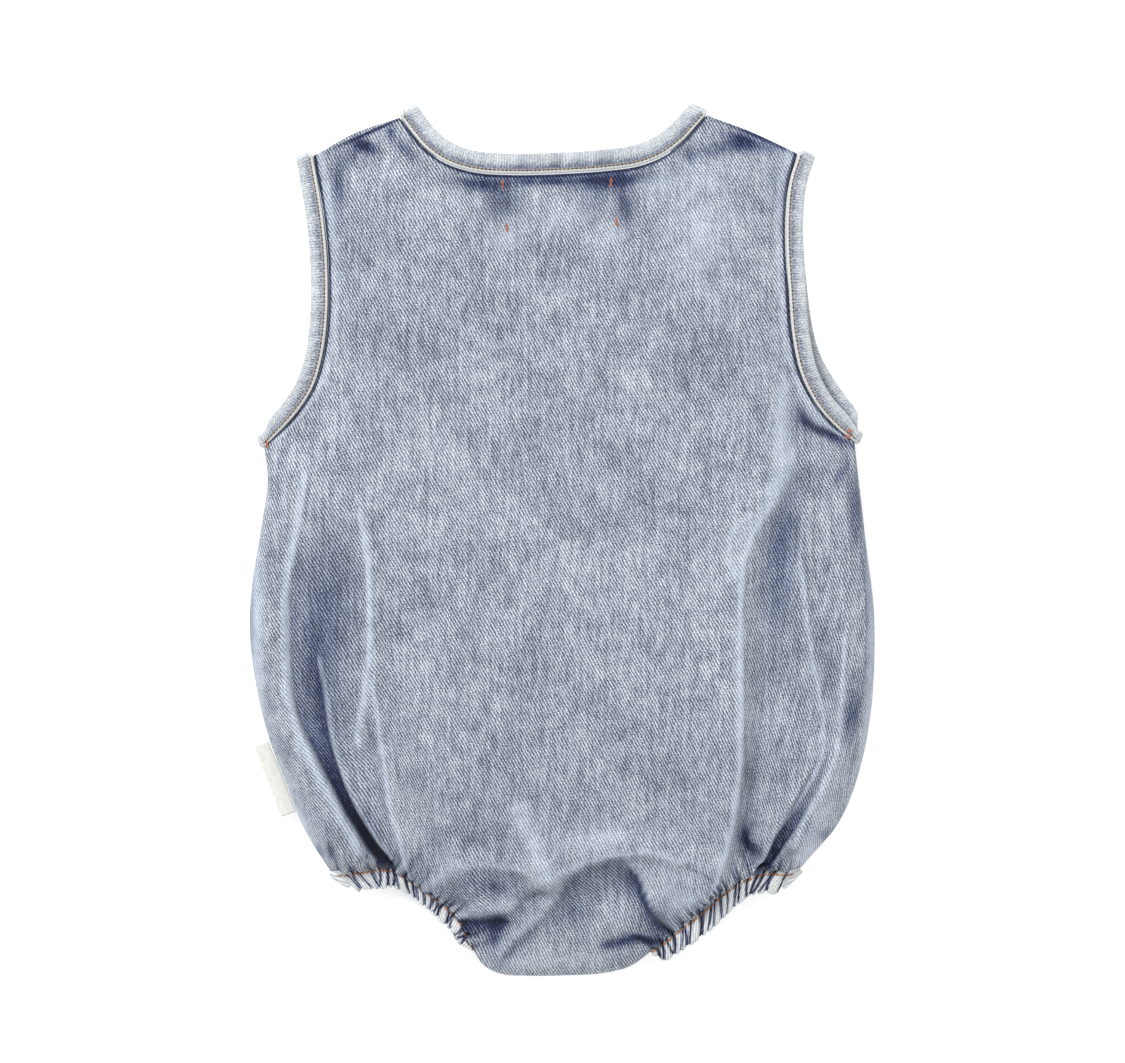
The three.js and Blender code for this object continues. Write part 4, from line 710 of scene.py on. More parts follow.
def groove(rows, share, across):
    """How deep a gather's groove is: share along the casing, across from its seam 0 to its edge 1."""
    depth = np.zeros(np.broadcast(share, across).shape)
    for row in rows:
        line = row["at"] + row["slant"] * (across - 0.5) + row["bend"] * np.sin(math.pi * across)
        fade = row["from_seam"] + (row["from_edge"] - row["from_seam"]) * across
        depth = np.maximum(depth, row["depth"] * fade * bump((share - line) / row["width"]))
        # A second groove that runs into the first, like a Y
        fork = line + row["fork"] * (1 - across)
        depth = np.maximum(depth, row["fork_depth"] * (1 - across) * bump((share - fork) / row["width"]))
    return depth


def puff(rows, share, across):
    """How high the cloth stands up between two grooves, from 0 in a groove to 1 halfway."""
    nearest = np.full(np.broadcast(share, across).shape, 1.0)
    for row in rows:
        line = row["at"] + row["slant"] * (across - 0.5) + row["bend"] * np.sin(math.pi * across)
        nearest = np.minimum(nearest, np.abs(share - line) / (GATHER_SPACING / 2))
    return np.sin(math.pi / 2 * np.clip(nearest, 0, 1))


PUCKER = {"reach": 10, "depth": 2.0, "spread": 1.2}
# The back's edge hangs over each casing, further out between the gathers than at them
OVER_CASING = {"lift": 2.6, "out": 2.3, "held": 0.25, "fade": 4.5, "from_side": 0.08, "from_crotch": 0.04}


def at_casing(u):
    """Whether a place of the hem lies on a casing, with the furrow and the crest that it meets there."""
    left_at, right_at, on_left, on_right = leg_shares(u)
    on_leg, crest = np.zeros(len(u)), np.zeros(len(u))
    for leg, at, here in (("left", left_at, on_left), ("right", right_at, on_right)):
        full = smooth(at / OVER_CASING["from_side"]) * smooth((1 - at) / OVER_CASING["from_crotch"])
        on_leg = np.where(here, full, on_leg)
        crest = np.where(here, full * puff(gathers[leg], at, 0), crest)
    return on_leg, crest


def puckers(u, to_hem):
    """The small furrows that run up into the cloth from the gathers."""
    left_at, right_at, on_left, on_right = leg_shares(u)
    depth = np.zeros(len(u))
    for leg, at, here in (("left", left_at, on_left), ("right", right_at, on_right)):
        for row in gathers[leg]:
            width = row["width"] * (PUCKER["spread"] + to_hem / PUCKER["reach"])
            start = row["at"] - row["slant"] * 0.5
            furrow = row["depth"] * row["from_seam"] * bump((at - start) / width)
            depth = np.where(here, np.maximum(depth, furrow), depth)
    return depth * np.exp(-to_hem / PUCKER["reach"])


RUMPLES = [{"size": 34, "height": 0.7}, {"size": 15, "height": 0.3}]


def rumple(places):
    """The slight unevenness of washed cloth laid flat."""
    height = np.zeros(len(places))
    for row in RUMPLES:
        for k, (x, y) in enumerate(places):
            height[k] += row["height"] * noise.noise(Vector((x / row["size"], y / row["size"], row["size"])))
    return height


def back_surface(u, v):
    """The middle of the back's cloth at places of its patch, with the dye, the painted shade and the wear it
    has there.
    """
    u, v = np.broadcast_arrays(np.asarray(u, float), np.asarray(v, float))
    shape = u.shape
    u, v = u.ravel(), v.ravel()
    plan = back_patch(u, v)
    width = back_patch(np.ones(len(v)), v)[:, 0] - back_patch(np.zeros(len(v)), v)[:, 0]
    length = back_patch(u, np.zeros(len(u)))[:, 1] - back_patch(u, np.ones(len(u)))[:, 1]
    to_side = np.minimum(u, 1 - u) * width
    to_top = v * length
    to_hem, _, hem_u, hem_at = from_line(lower_edge, plan)
    in_fold = smooth(to_side / FOLD_FADE["side"]) * smooth(to_hem / FOLD_FADE["hem"])
    in_fold *= smooth(to_top / FOLD_FADE["top"])
    height, rub = fold_shapes(plan)
    depth, wedge_painted_shade = wedge_shapes(plan)
    folds = height + depth + rumple(plan)
    open_height = from_table(BACK_HEIGHTS, "y", "height", plan[:, 1]) + folds * in_fold

    side = from_table(EDGE_HEIGHTS, "share", "back", v)
    below = smooth((v - ARM_SHARE + ARM_BLEND["before"]) / ARM_BLEND["width"])
    side_rise = quarter_round(to_side / SIDE_ROLL) * below + smooth(to_side / ARM_ROLL) * (1 - below)
    height = side + (open_height - side) * side_rise
    top = from_table(TOP_HEIGHTS, "share", "back", u)
    height = top + (height - top) * smooth(to_top / NECK_RISE)
    on_leg, crest = at_casing(hem_u)
    furrow = puckers(hem_u, to_hem)
    bottom = back_bottom_height(hem_u) + OVER_CASING["lift"] * on_leg
    from_leg = np.minimum(hem_u, 1 - hem_u) - LEG_SHARE
    at_crotch = smooth((from_leg + CROTCH_BLEND["before"]) / CROTCH_BLEND["width"])
    hem_rise = half_round(to_hem / LEG_ROLL) * (1 - at_crotch)
    hem_rise += quarter_round(to_hem / CROTCH_ROLL) * at_crotch
    height = bottom + (height - bottom) * hem_rise - PUCKER["depth"] * furrow

    out = hem_at - plan
    out /= np.maximum(np.linalg.norm(out, axis=1), 1e-6)[:, None]
    moved = plan + out * overhang(hem_u, to_hem)[:, None]
    held = OVER_CASING["held"] * on_leg + (1 - OVER_CASING["held"]) * crest
    drop = OVER_CASING["out"] * held * bump(to_hem / OVER_CASING["fade"])
    hem_shares = np.linspace(0, 1, len(lower_edge))
    hem_out = [np.interp(hem_u, hem_shares, lower_out[:, k]) for k in (0, 1)]
    moved += np.stack(hem_out, -1) * drop[:, None]
    # The wedges' darkening is painted shade, and the furrows' darkening is part indigo and part painted
    # shade
    looks = {
        "side": to_side, "top": to_top, "relief": folds * in_fold, "rub": rub,
        "dye_and_shade": wedge_painted_shade + BACK_WEAR_AND_SHADE["furrow_dye_and_shade"] * furrow ** 2,
    }
    points = np.column_stack([moved, height]).reshape(shape + (3,))
    return points, {key: value.reshape(shape) for key, value in looks.items()}


def stretches(*runs):
    """Shares from 0 to 1 in stretches, each given as (end, steps)."""
    shares = [np.zeros(1)]
    start = 0.0
    for end, steps in runs:
        shares.append(np.linspace(start, end, steps + 1)[1:])
        start = end
    return np.concatenate(shares)


def cloth_piece(name, points, grain, dye_and_shade, wear, closed=False, rims=False):
    """A piece of cloth: a grid moved to its place, with its own grain, its dye and painted shade, and its
    wear at each point.
    """
    rows, columns = points.shape[:2]
    bm = bmesh.new()
    bmesh.ops.create_grid(bm, x_segments=columns - 1, y_segments=rows - 1, size=1)
    grain_layer = bm.verts.layers.float_vector.new("cloth")
    dye_and_shade_layer = bm.verts.layers.float.new("dye_and_shade")
    wear_layer = bm.verts.layers.float.new("wear")
    for vert in bm.verts:
        i = round((vert.co.x + 1) / 2 * (columns - 1))
        j = round((vert.co.y + 1) / 2 * (rows - 1))
        vert.co = points[j, i] * MM
        vert[grain_layer] = (grain[j, i, 0] * MM, grain[j, i, 1] * MM, 0)
        vert[dye_and_shade_layer] = dye_and_shade[j, i]
        vert[wear_layer] = wear[j, i]
    if closed or rims:
        bmesh.ops.remove_doubles(bm, verts=bm.verts, dist=1e-7)
        if rims:
            bmesh.ops.holes_fill(bm, edges=[edge for edge in bm.edges if edge.is_boundary], sides=0)
        bmesh.ops.recalc_face_normals(bm, faces=bm.faces)
    for face in bm.faces:
        face.smooth = True
    mesh = bpy.data.meshes.new(name)
    bm.to_mesh(mesh)
    bm.free()
    piece = bpy.data.objects.new(name, mesh)
    bpy.context.scene.collection.objects.link(piece)
    return piece


def thicken(piece, thickness):
    wall = piece.modifiers.new("cloth_thickness", "SOLIDIFY")
    wall.thickness = thickness * MM
    wall.offset = 0
    return piece


GRAIN_ROUNDS = 700


def lay_grain(points, turns):
    """Lays the cloth flat: its steps keep their length, and turn back as the folds turned them."""

    def flat_steps(start, end):
        step = end - start
        plan = unit(step[..., :2]) * np.linalg.norm(step, axis=-1, keepdims=True)
        turn = -np.radians(patches((start + end)[..., :2] / 2, turns, "turn"))
        cos, sin = np.cos(turn), np.sin(turn)
        x, y = plan[..., 0], plan[..., 1]
        return np.stack([x * cos - y * sin, x * sin + y * cos], -1)

    def gathered(across, down):
        total = np.zeros(points.shape[:2] + (2,))
        total[:, 1:] += across
        total[:, :-1] -= across
        total[1:] += down
        total[:-1] -= down
        return total

    def spread(grain):
        return gathered(np.diff(grain, axis=1), np.diff(grain, axis=0))

    # Least squares by conjugate gradients, from the cloth as it is seen from above
    grain = points[..., :2].copy()
    wanted = gathered(flat_steps(points[:, :-1], points[:, 1:]), flat_steps(points[:-1], points[1:]))
    rest = wanted - spread(grain)
    way = rest.copy()
    size = np.sum(rest * rest)
    for _ in range(GRAIN_ROUNDS):
        pushed = spread(way)
        step = size / np.sum(way * pushed)
        grain += step * way
        rest -= step * pushed
        before, size = size, np.sum(rest * rest)
        way = rest + way * (size / before)
    return grain - grain.mean(axis=(0, 1)) + points[..., :2].mean(axis=(0, 1))


def blurred(field, passes):
    for _ in range(passes):
        field = np.pad(field, 1, mode="edge")
        field = (field[:-2] + 2 * field[1:-1] + field[2:])[:, 1:-1] / 4
        field = np.pad(field, 1, mode="edge")
        field = (field[:, :-2] + 2 * field[:, 1:-1] + field[:, 2:])[1:-1] / 4
    return field


def right_inset(v):
    y = back_patch(np.ones(len(v)), v)[:, 1]
    return from_table(RIGHT_SEAM, "y", "inset", y) / GARMENT_WIDTH


rim, share = BACK_MESH["rim_share"], BACK_MESH["sides_share"]
back_columns = stretches(
    (rim, BACK_MESH["rim"]), (share, BACK_MESH["side"]), (1 - share, BACK_MESH["middle"]),
    (1 - rim, BACK_MESH["side"]), (1, BACK_MESH["rim"]))
side_steps = np.linspace(0, 1, BACK_MESH["side_rows"] + 1)[1:]
back_rows = np.concatenate([
    stretches((BACK_MESH["top_share"], BACK_MESH["top_rows"]), (ARM_SHARE, BACK_MESH["arm_rows"])),
    ARM_SHARE + (1 - ARM_SHARE) * (1 - (1 - side_steps) ** BACK_MESH["crowding"]),
])
near_seam = 1 - smooth((1 - back_columns) / (2 * SIDE_ROLL / GARMENT_WIDTH))
back_u = back_columns[None, :] - right_inset(back_rows)[:, None] * near_seam[None, :]
back_points, back_edges = back_surface(back_u, back_rows[:, None])
back_grain = lay_grain(back_points, GRAIN_TURNS)

# Hollows are darkened, partly by indigo that the wash left and partly by painted shade, and crests are
# rubbed; a thin dark line, then a pale stripe, runs beside each bound edge
HOLLOW_PASSES = 16
hollow = blurred(back_edges["relief"], HOLLOW_PASSES) - back_edges["relief"]
# The patches darken the back with indigo and with painted shade in the troughs, dents and the pocket
back_dye_and_shade = patches(back_points[..., :2], DYE_AND_SHADE_PATCHES, "dye_and_shade") + back_edges["dye_and_shade"]
back_dye_and_shade += np.clip(BACK_WEAR_AND_SHADE["hollow_dye_and_shade"] * hollow, 0, BACK_WEAR_AND_SHADE["hollow_most"])
in_neck = np.abs(back_columns[None, :] - 0.5) < 0.5 - SHOULDER_SHARE
in_arm = back_rows[:, None] < ARM_SHARE
line_top = smooth((BACK_WEAR_AND_SHADE["line"] - back_edges["top"]) / BACK_WEAR_AND_SHADE["line_fade"]) * in_neck
line_side = smooth((BACK_WEAR_AND_SHADE["line"] - back_edges["side"]) / BACK_WEAR_AND_SHADE["line_fade"]) * in_arm
across = back_points[..., 0]
on_shoulder = sum(bump((across - row["x"]) / row["reach"]) for row in SHOULDER_LINES)
line_shoulder = smooth((BACK_WEAR_AND_SHADE["shoulder_line"] - back_edges["top"]) / BACK_WEAR_AND_SHADE["line_fade"])
line_shoulder = line_shoulder * on_shoulder
# The dark line beside the neck and armhole bindings is part indigo and part painted shade under their edges;
# the shoulder lines are darkened the same way
back_dye_and_shade += BACK_WEAR_AND_SHADE["line_dye_and_shade"] * np.maximum(np.maximum(line_top, line_side), line_shoulder)
stripe = bump((back_edges["side"] - BACK_WEAR_AND_SHADE["stripe_at"]) / BACK_WEAR_AND_SHADE["stripe_width"]) * in_arm
back_wear = np.clip(BACK_WEAR_AND_SHADE["crest"] * -hollow, 0, BACK_WEAR_AND_SHADE["crest_most"])
back_wear = np.maximum(np.maximum(back_wear, BACK_WEAR_AND_SHADE["stripe"] * stripe), back_edges["rub"])
back_wear = np.maximum(back_wear, patches(back_points[..., :2], RUBS, "rub"))
back_piece = cloth_piece("back_cloth", back_points, back_grain, back_dye_and_shade, back_wear)
back_piece.data.flip_normals()
thicken(back_piece, CLOTH)

# The washed denim of every panel: pale weft, worn indigo warp in steep diagonal ribs, mottled by the wash
TWILL_PITCH = 0.0013
TWILL_TURN = math.radians(28.5)
TWILL_STEP = 2 * math.pi / TWILL_PITCH


def colour(red, green, blue):
    """A shader colour from the 0 to 255 values that a screen shows."""
    shares = [c / 255 for c in (red, green, blue)]
    return tuple(c / 12.92 if c <= 0.04045 else ((c + 0.055) / 1.055) ** 2.4 for c in shares) + (1.0,)


def shader_node(tree, kind, values=None, **settings):
    """A node with its settings; a value is a constant, or a socket to link to that input."""
    made = tree.nodes.new(kind)
    for key, value in settings.items():
        setattr(made, key, value)
    for key, value in (values or {}).items():
        if isinstance(value, bpy.types.NodeSocket):
            tree.links.new(value, made.inputs[key])
        else:
            made.inputs[key].default_value = value
    return made


def maths(tree, operation, a, b=0.0, c=0.0):
    return shader_node(tree, "ShaderNodeMath", {0: a, 1: b, 2: c}, operation=operation).outputs[0]


def texture_noise(tree, vector, scale, detail=2.0, roughness=0.5):
    made = shader_node(
        tree, "ShaderNodeTexNoise",
        {"Vector": vector, "Scale": scale, "Detail": detail, "Roughness": roughness},
    )
    return made.outputs["Fac"]


def stretched(tree, vector, scale):
    made = shader_node(tree, "ShaderNodeVectorMath", {0: vector, 1: scale}, operation="MULTIPLY")
    return made.outputs[0]


def ramp(tree, factor, stops):
    made = shader_node(tree, "ShaderNodeValToRGB", {0: factor})
    elements = made.color_ramp.elements
    while len(elements) < len(stops):
        elements.new(0.5)
    for element, (place, tint) in zip(elements, stops):
        element.position = place
        element.color = tint
    return made.outputs["Color"]


def group_with(name, inputs, outputs):
    group = bpy.data.node_groups.new(name, "ShaderNodeTree")
    for label, kind, start in inputs:
        made = group.interface.new_socket(label, in_out="INPUT", socket_type=kind)
        if start is not None:
            made.default_value = start
    for label, kind in outputs:
        group.interface.new_socket(label, in_out="OUTPUT", socket_type=kind)
    entry = group.nodes.new("NodeGroupInput")
    leave = group.nodes.new("NodeGroupOutput")
    return group, entry.outputs, leave.inputs


washed_denim, given, result = group_with(
    "washed_denim",
    [
        ("Cloth", "NodeSocketVector", None), ("Dye_and_shade", "NodeSocketFloat", 0.0),
        ("Wear", "NodeSocketFloat", 0.0), ("Ribs", "NodeSocketFloat", 1.0),
        ("Bleach", "NodeSocketFloat", 0.0), ("Pale", "NodeSocketColor", None),
    ],
    [("Color", "NodeSocketColor"), ("Roughness", "NodeSocketFloat"), ("Height", "NodeSocketFloat")],
)
cloth = given["Cloth"]
across_ribs = shader_node(
    washed_denim, "ShaderNodeVectorMath",
    {0: cloth, 1: (math.cos(TWILL_TURN) * TWILL_STEP, math.sin(TWILL_TURN) * TWILL_STEP, 0)},
    operation="DOT_PRODUCT",
).outputs["Value"]
drift = texture_noise(washed_denim, cloth, 70.0, 2.0)
stagger = texture_noise(washed_denim, cloth, 620.0, 1.0)
phase = maths(washed_denim, "MULTIPLY_ADD", drift, 5.0, across_ribs)
phase = maths(washed_denim, "MULTIPLY_ADD", stagger, 3.4, phase)
rib = maths(washed_denim, "SINE", phase)
speckle = texture_noise(washed_denim, cloth, 1500.0, 2.0, 0.7)
slub = texture_noise(washed_denim, stretched(washed_denim, cloth, (520.0, 60.0, 1.0)), 1.0, 2.0, 0.6)
mottle = texture_noise(washed_denim, cloth, 42.0, 4.0, 0.62)
cloud = texture_noise(washed_denim, cloth, 16.0, 2.0, 0.5)
patchy = texture_noise(washed_denim, cloth, 190.0, 3.0, 0.6)
ribs = maths(washed_denim, "MULTIPLY", rib, given["Ribs"])
tone = maths(washed_denim, "MULTIPLY_ADD", ribs, 0.29, 0.5)
for pattern, strength in ((speckle, 2.1), (slub, 0.6), (mottle, 0.55), (cloud, 0.25), (patchy, 0.5)):
    tone = maths(washed_denim, "ADD", tone, maths(
        washed_denim, "MULTIPLY", maths(washed_denim, "SUBTRACT", pattern, 0.5), strength))
tone = maths(washed_denim, "ADD", tone, maths(washed_denim, "MULTIPLY", given["Wear"], 0.2))
tone = maths(washed_denim, "ADD", tone, given["Bleach"])
torn = maths(washed_denim, "MULTIPLY_ADD", patchy, 2.2, -0.1)
# The dye input darkens the cloth toward deep indigo: real indigo from the wash, and painted shade in the
# hollows, troughs, wedges and grooves
torn_dye_and_shade = maths(washed_denim, "MULTIPLY", given["Dye_and_shade"], torn)
tone = maths(washed_denim, "SUBTRACT", tone, maths(washed_denim, "MULTIPLY", torn_dye_and_shade, 0.42))
worn = ramp(washed_denim, tone, [
    (0.0, colour(54, 59, 76)), (0.3, colour(101, 108, 125)),
    (0.55, colour(153, 161, 175)), (0.8, colour(196, 203, 212)), (1.0, colour(225, 229, 232)),
])
deep = ramp(washed_denim, tone, [
    (0.0, colour(12, 16, 36)), (0.35, colour(38, 52, 104)), (0.7, colour(84, 103, 152)),
    (1.0, colour(146, 164, 200)),
])
rubbed_tone = maths(washed_denim, "MULTIPLY_ADD", speckle, 1.2, -0.1)
rubbed_tone = maths(washed_denim, "MULTIPLY_ADD", ribs, 0.22, rubbed_tone)
rubbed = ramp(washed_denim, rubbed_tone, [(0.1, (0.62, 0.62, 0.62, 1)), (0.9, (1, 1, 1, 1))])
indigo_and_shade_share = maths(washed_denim, "MINIMUM", maths(washed_denim, "MAXIMUM", torn_dye_and_shade, 0.0), 0.85)
worn_through = maths(washed_denim, "MULTIPLY_ADD", patchy, 1.4, 0.2)
rub_share = maths(washed_denim, "MULTIPLY", given["Wear"], worn_through)
rub_share = maths(washed_denim, "MINIMUM", maths(washed_denim, "MAXIMUM", rub_share, 0.0), 0.9)
# Where the colour mix node has its factor and its two colours, and gives its result
MIX_FACTOR, MIX_FIRST, MIX_SECOND, MIX_COLOUR = 0, 6, 7, 2


def mixed(tree, share, first, second, blend="MIX"):
    made = shader_node(
        tree, "ShaderNodeMix", {MIX_FACTOR: share, MIX_FIRST: first, MIX_SECOND: second},
        data_type="RGBA", blend_type=blend)
    return made.outputs[MIX_COLOUR]


pale = mixed(washed_denim, 1.0, rubbed, given["Pale"], "MULTIPLY")
dyed_and_shaded = mixed(washed_denim, indigo_and_shade_share, worn, deep)
washed_denim.links.new(mixed(washed_denim, rub_share, dyed_and_shaded, pale), result["Color"])
washed_denim.links.new(maths(washed_denim, "MULTIPLY_ADD", speckle, 0.16, 0.78), result["Roughness"])
relief = maths(washed_denim, "MULTIPLY_ADD", speckle, 0.8, maths(washed_denim, "MULTIPLY", rib, 0.5))
washed_denim.links.new(relief, result["Height"])


def mesh_value(tree, name, output):
    made = shader_node(tree, "ShaderNodeAttribute", attribute_name=name, attribute_type="GEOMETRY")
    return made.outputs[output]


def denim(name, ribs, bleach, pale, bump_strength):
    """A denim finish for one kind of piece, with the colour that it has where it is rubbed."""
    finish = bpy.data.materials.new(name)
    finish.use_nodes = True
    tree = finish.node_tree
    shader = tree.nodes["Principled BSDF"]
    wash = tree.nodes.new("ShaderNodeGroup")
    wash.node_tree = washed_denim
    tree.links.new(mesh_value(tree, "cloth", "Vector"), wash.inputs["Cloth"])
    tree.links.new(mesh_value(tree, "dye_and_shade", "Fac"), wash.inputs["Dye_and_shade"])
    tree.links.new(mesh_value(tree, "wear", "Fac"), wash.inputs["Wear"])
    wash.inputs["Ribs"].default_value = ribs
    wash.inputs["Bleach"].default_value = bleach
    wash.inputs["Pale"].default_value = pale
    raised = shader_node(
        tree, "ShaderNodeBump",
        {"Height": wash.outputs["Height"], "Strength": bump_strength, "Distance": 0.0002},
    )
    tree.links.new(wash.outputs["Color"], shader.inputs["Base Color"])
    tree.links.new(wash.outputs["Roughness"], shader.inputs["Roughness"])
    tree.links.new(raised.outputs["Normal"], shader.inputs["Normal"])
    shader.inputs["Sheen Weight"].default_value = 0.12
    shader.inputs["Sheen Roughness"].default_value = 0.5
    shader.inputs["Specular IOR Level"].default_value = 0.25
    return finish


panel_denim = denim("panel_denim", 1.0, 0.0, colour(206, 217, 236), 0.5)
back_piece.data.materials.append(panel_denim)
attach(back_piece, "root")
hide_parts("back_panel")


# The front panel
# Cut like the back with a deeper neck. It lies face down on the surface, rises to the side seams,
# and turns up round the right side, where a strip of it shows from above.
SEAM_GAP = 0.6
FLOOR_ROLL = 13
FRONT_NECK = [
    NECK_POINT_LEFT, (-72, 183), (-62, 166), (-45, 154.5), (-25, 150.4), (-4, 149.8),
    (17, 151), (38, 156.5), (54, 168), (63, 184), NECK_POINT_RIGHT,
]
ARMHOLE_RIGHT_FRONT = [
    SHOULDER_TIP_RIGHT, (104.7, 166), (103.1, 150), (103.3, 134), (104.8, 117), (107.6, 97),
    (111.6, 83), (117.2, 72.6), (124, 62.6), (131, 53.4), ARMPIT_RIGHT,
]
FRONT_CROTCH_LEFT = (-38, -190)
FRONT_CROTCH_RIGHT = (38, -190)
CASING_LEFT_FRONT = [
    {"seam": HEM_CORNER_LEFT, "edge": (-98.4, -157.9)},
    {"seam": (-97.4, -145.4), "edge": (-93.6, -154.4)},
    {"seam": (-87, -141.4), "edge": (-86.4, -151.2)},
    {"seam": (-76.4, -142.4), "edge": (-79.6, -151.6)},
    {"seam": (-66.4, -147.6), "edge": (-72.6, -155.4)},
    {"seam": (-57.4, -155), "edge": (-65, -161.4)},
    {"seam": (-49.4, -164), "edge": (-57.8, -169.2)},
    {"seam": (-43, -175), "edge": (-52, -178.2)},
    {"seam": FRONT_CROTCH_LEFT, "edge": (-47.2, -188.4)},
]
CASING_RIGHT_FRONT = [
    {"seam": HEM_CORNER_RIGHT, "edge": (102.4, -158.4)},
    {"seam": (100, -145), "edge": (96.4, -154.2)},
    {"seam": (89, -141.4), "edge": (88.2, -151.4)},
    {"seam": (78, -142.6), "edge": (80.6, -152.2)},
    {"seam": (68, -148), "edge": (73.4, -156.4)},
    {"seam": (58.6, -155.4), "edge": (65.2, -162.4)},
    {"seam": (50, -164.4), "edge": (57.8, -170.4)},
    {"seam": (42.8, -175.4), "edge": (51.6, -179.4)},
    {"seam": FRONT_CROTCH_RIGHT, "edge": (47.4, -188.8)},
]
FRONT_SHOULDER_HEIGHT = 2.2
FRONT_SHOULDER_SHOWN = 2.2
FRONT_CROTCH_HEIGHT = 2.3
FRONT_CROTCH_FLAT = 15
FRONT_CROTCH_RISE = 36
FRONT_BLEND = {"shoulder": 0.02, "shoulder_fall": 12, "before_crotch": 0.06, "crotch": 0.05}
SIDE_TURN = {"round": 1.4, "over": 2.2, "climb": 1.6, "tuck": 1.2, "under": 1.35}
FRONT_MESH = {"side": 14, "middle": 90, "turn": 14, "rows": 130}

front_patch = patch(
    top_edge(FRONT_NECK, FRONT_SHOULDER_SHOWN),
    bottom_edge(CASING_LEFT_FRONT, [FRONT_CROTCH_LEFT, FRONT_CROTCH_RIGHT], CASING_RIGHT_FRONT),
    side_edge(ARMHOLE_LEFT, SIDE_LEFT),
    side_edge(ARMHOLE_RIGHT_FRONT, SIDE_RIGHT),
)


def front_surface(u, v):
    """The middle of the front's cloth: flat on the surface, and rising to the side seams."""
    u, v = np.broadcast_arrays(np.asarray(u, float), np.asarray(v, float))
    shape = u.shape
    u, v = u.ravel(), v.ravel()
    plan = front_patch(u, v)
    width = front_patch(np.ones(len(v)), v)[:, 0] - front_patch(np.zeros(len(v)), v)[:, 0]
    length = front_patch(u, np.zeros(len(u)))[:, 1] - front_patch(u, np.ones(len(u)))[:, 1]
    to_edge = np.minimum(u, 1 - u)
    floor = CLOTH / 2
    edge = from_table(EDGE_HEIGHTS, "share", "front", v)
    height = edge + (floor - edge) * quarter_round(to_edge * width / FLOOR_ROLL)
    on_shoulder = 1 - smooth((to_edge - SHOULDER_SHARE + FRONT_BLEND["shoulder"]) / FRONT_BLEND["shoulder"])
    on_shoulder *= 1 - smooth(v * length / FRONT_BLEND["shoulder_fall"])
    shoulder = (FRONT_SHOULDER_HEIGHT - floor) * on_shoulder
    height = np.maximum(height, floor + shoulder)
    at_crotch = smooth((to_edge - LEG_SHARE + FRONT_BLEND["before_crotch"]) / FRONT_BLEND["crotch"])
    to_hem = (1 - v) * length
    hem = 1 - smooth((to_hem - FRONT_CROTCH_FLAT) / (FRONT_CROTCH_RISE - FRONT_CROTCH_FLAT))
    height = height + (FRONT_CROTCH_HEIGHT - floor) * at_crotch * hem
    return np.column_stack([plan, height]).reshape(shape + (3,))


roll = FLOOR_ROLL / GARMENT_WIDTH
left_round = roll * (1 - np.cos(np.linspace(0, math.pi / 2, FRONT_MESH["side"], endpoint=False)))
front_flat = np.concatenate([left_round, np.linspace(roll, 1 - roll, FRONT_MESH["middle"], endpoint=False)])
front_rows = np.linspace(0, 1, FRONT_MESH["rows"] + 1)
seam_inset = right_inset(front_rows)
front_inset = np.where(seam_inset > 0, seam_inset + SIDE_TURN["tuck"] / GARMENT_WIDTH, 0)
low_side = front_surface(1.0, front_rows)
high_side = back_surface(1.0, front_rows)[0]
turned = np.where(front_inset > 0, high_side[:, 2] - low_side[:, 2], 0)
turned += SIDE_TURN["over"] * front_inset * GARMENT_WIDTH
rolled = FLOOR_ROLL * SIDE_TURN["round"]
turn_steps = np.linspace(0, 1, FRONT_MESH["turn"] + 1)
way = (rolled + turned)[:, None] * turn_steps[None, :]
round_share = np.sin(math.pi / 2 * np.clip(way / rolled, 0, 1))
round_points = front_surface(1 - roll * (1 - round_share), front_rows[:, None])
up = np.clip((way - rolled) / np.maximum(turned, 1e-6)[:, None], 0, 1)
up_points = back_surface(1 - front_inset[:, None] * up ** 2, front_rows[:, None])[0]
climb = np.minimum(up * SIDE_TURN["climb"], 1)
side_rise = (up_points[..., 2] - low_side[:, 2:3]) * climb
up_points[..., 2] = low_side[:, 2:3] + side_rise - SIDE_TURN["under"] * up
is_up = (way > rolled) & (turned[:, None] > 0)
side_points = np.where(is_up[..., None], up_points, round_points)
front_points = np.concatenate([front_surface(front_flat[None, :], front_rows[:, None]), side_points], axis=1)
FRONT_SMUDGES = [
    {"x": 139, "y": -30, "long": 40, "wide": 3, "lies": 90, "dye_and_shade": 0.35},
    {"x": 136, "y": 18, "long": 14, "wide": 3, "lies": 95, "dye_and_shade": 0.4},
]
FRONT_RUBS = [{"x": 141, "y": -60, "long": 60, "wide": 3, "lies": 90, "rub": 0.45}]
front_dye = patches(front_points[..., :2], FRONT_SMUDGES, "dye_and_shade")
front_grain = lay_grain(front_points, [])
front_rub = patches(front_points[..., :2], FRONT_RUBS, "rub")
front_piece = cloth_piece("front_cloth", front_points, front_grain, front_dye, front_rub)
thicken(front_piece, CLOTH)
front_piece.data.materials.append(panel_denim)
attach(front_piece, "root")
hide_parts("front_panel")


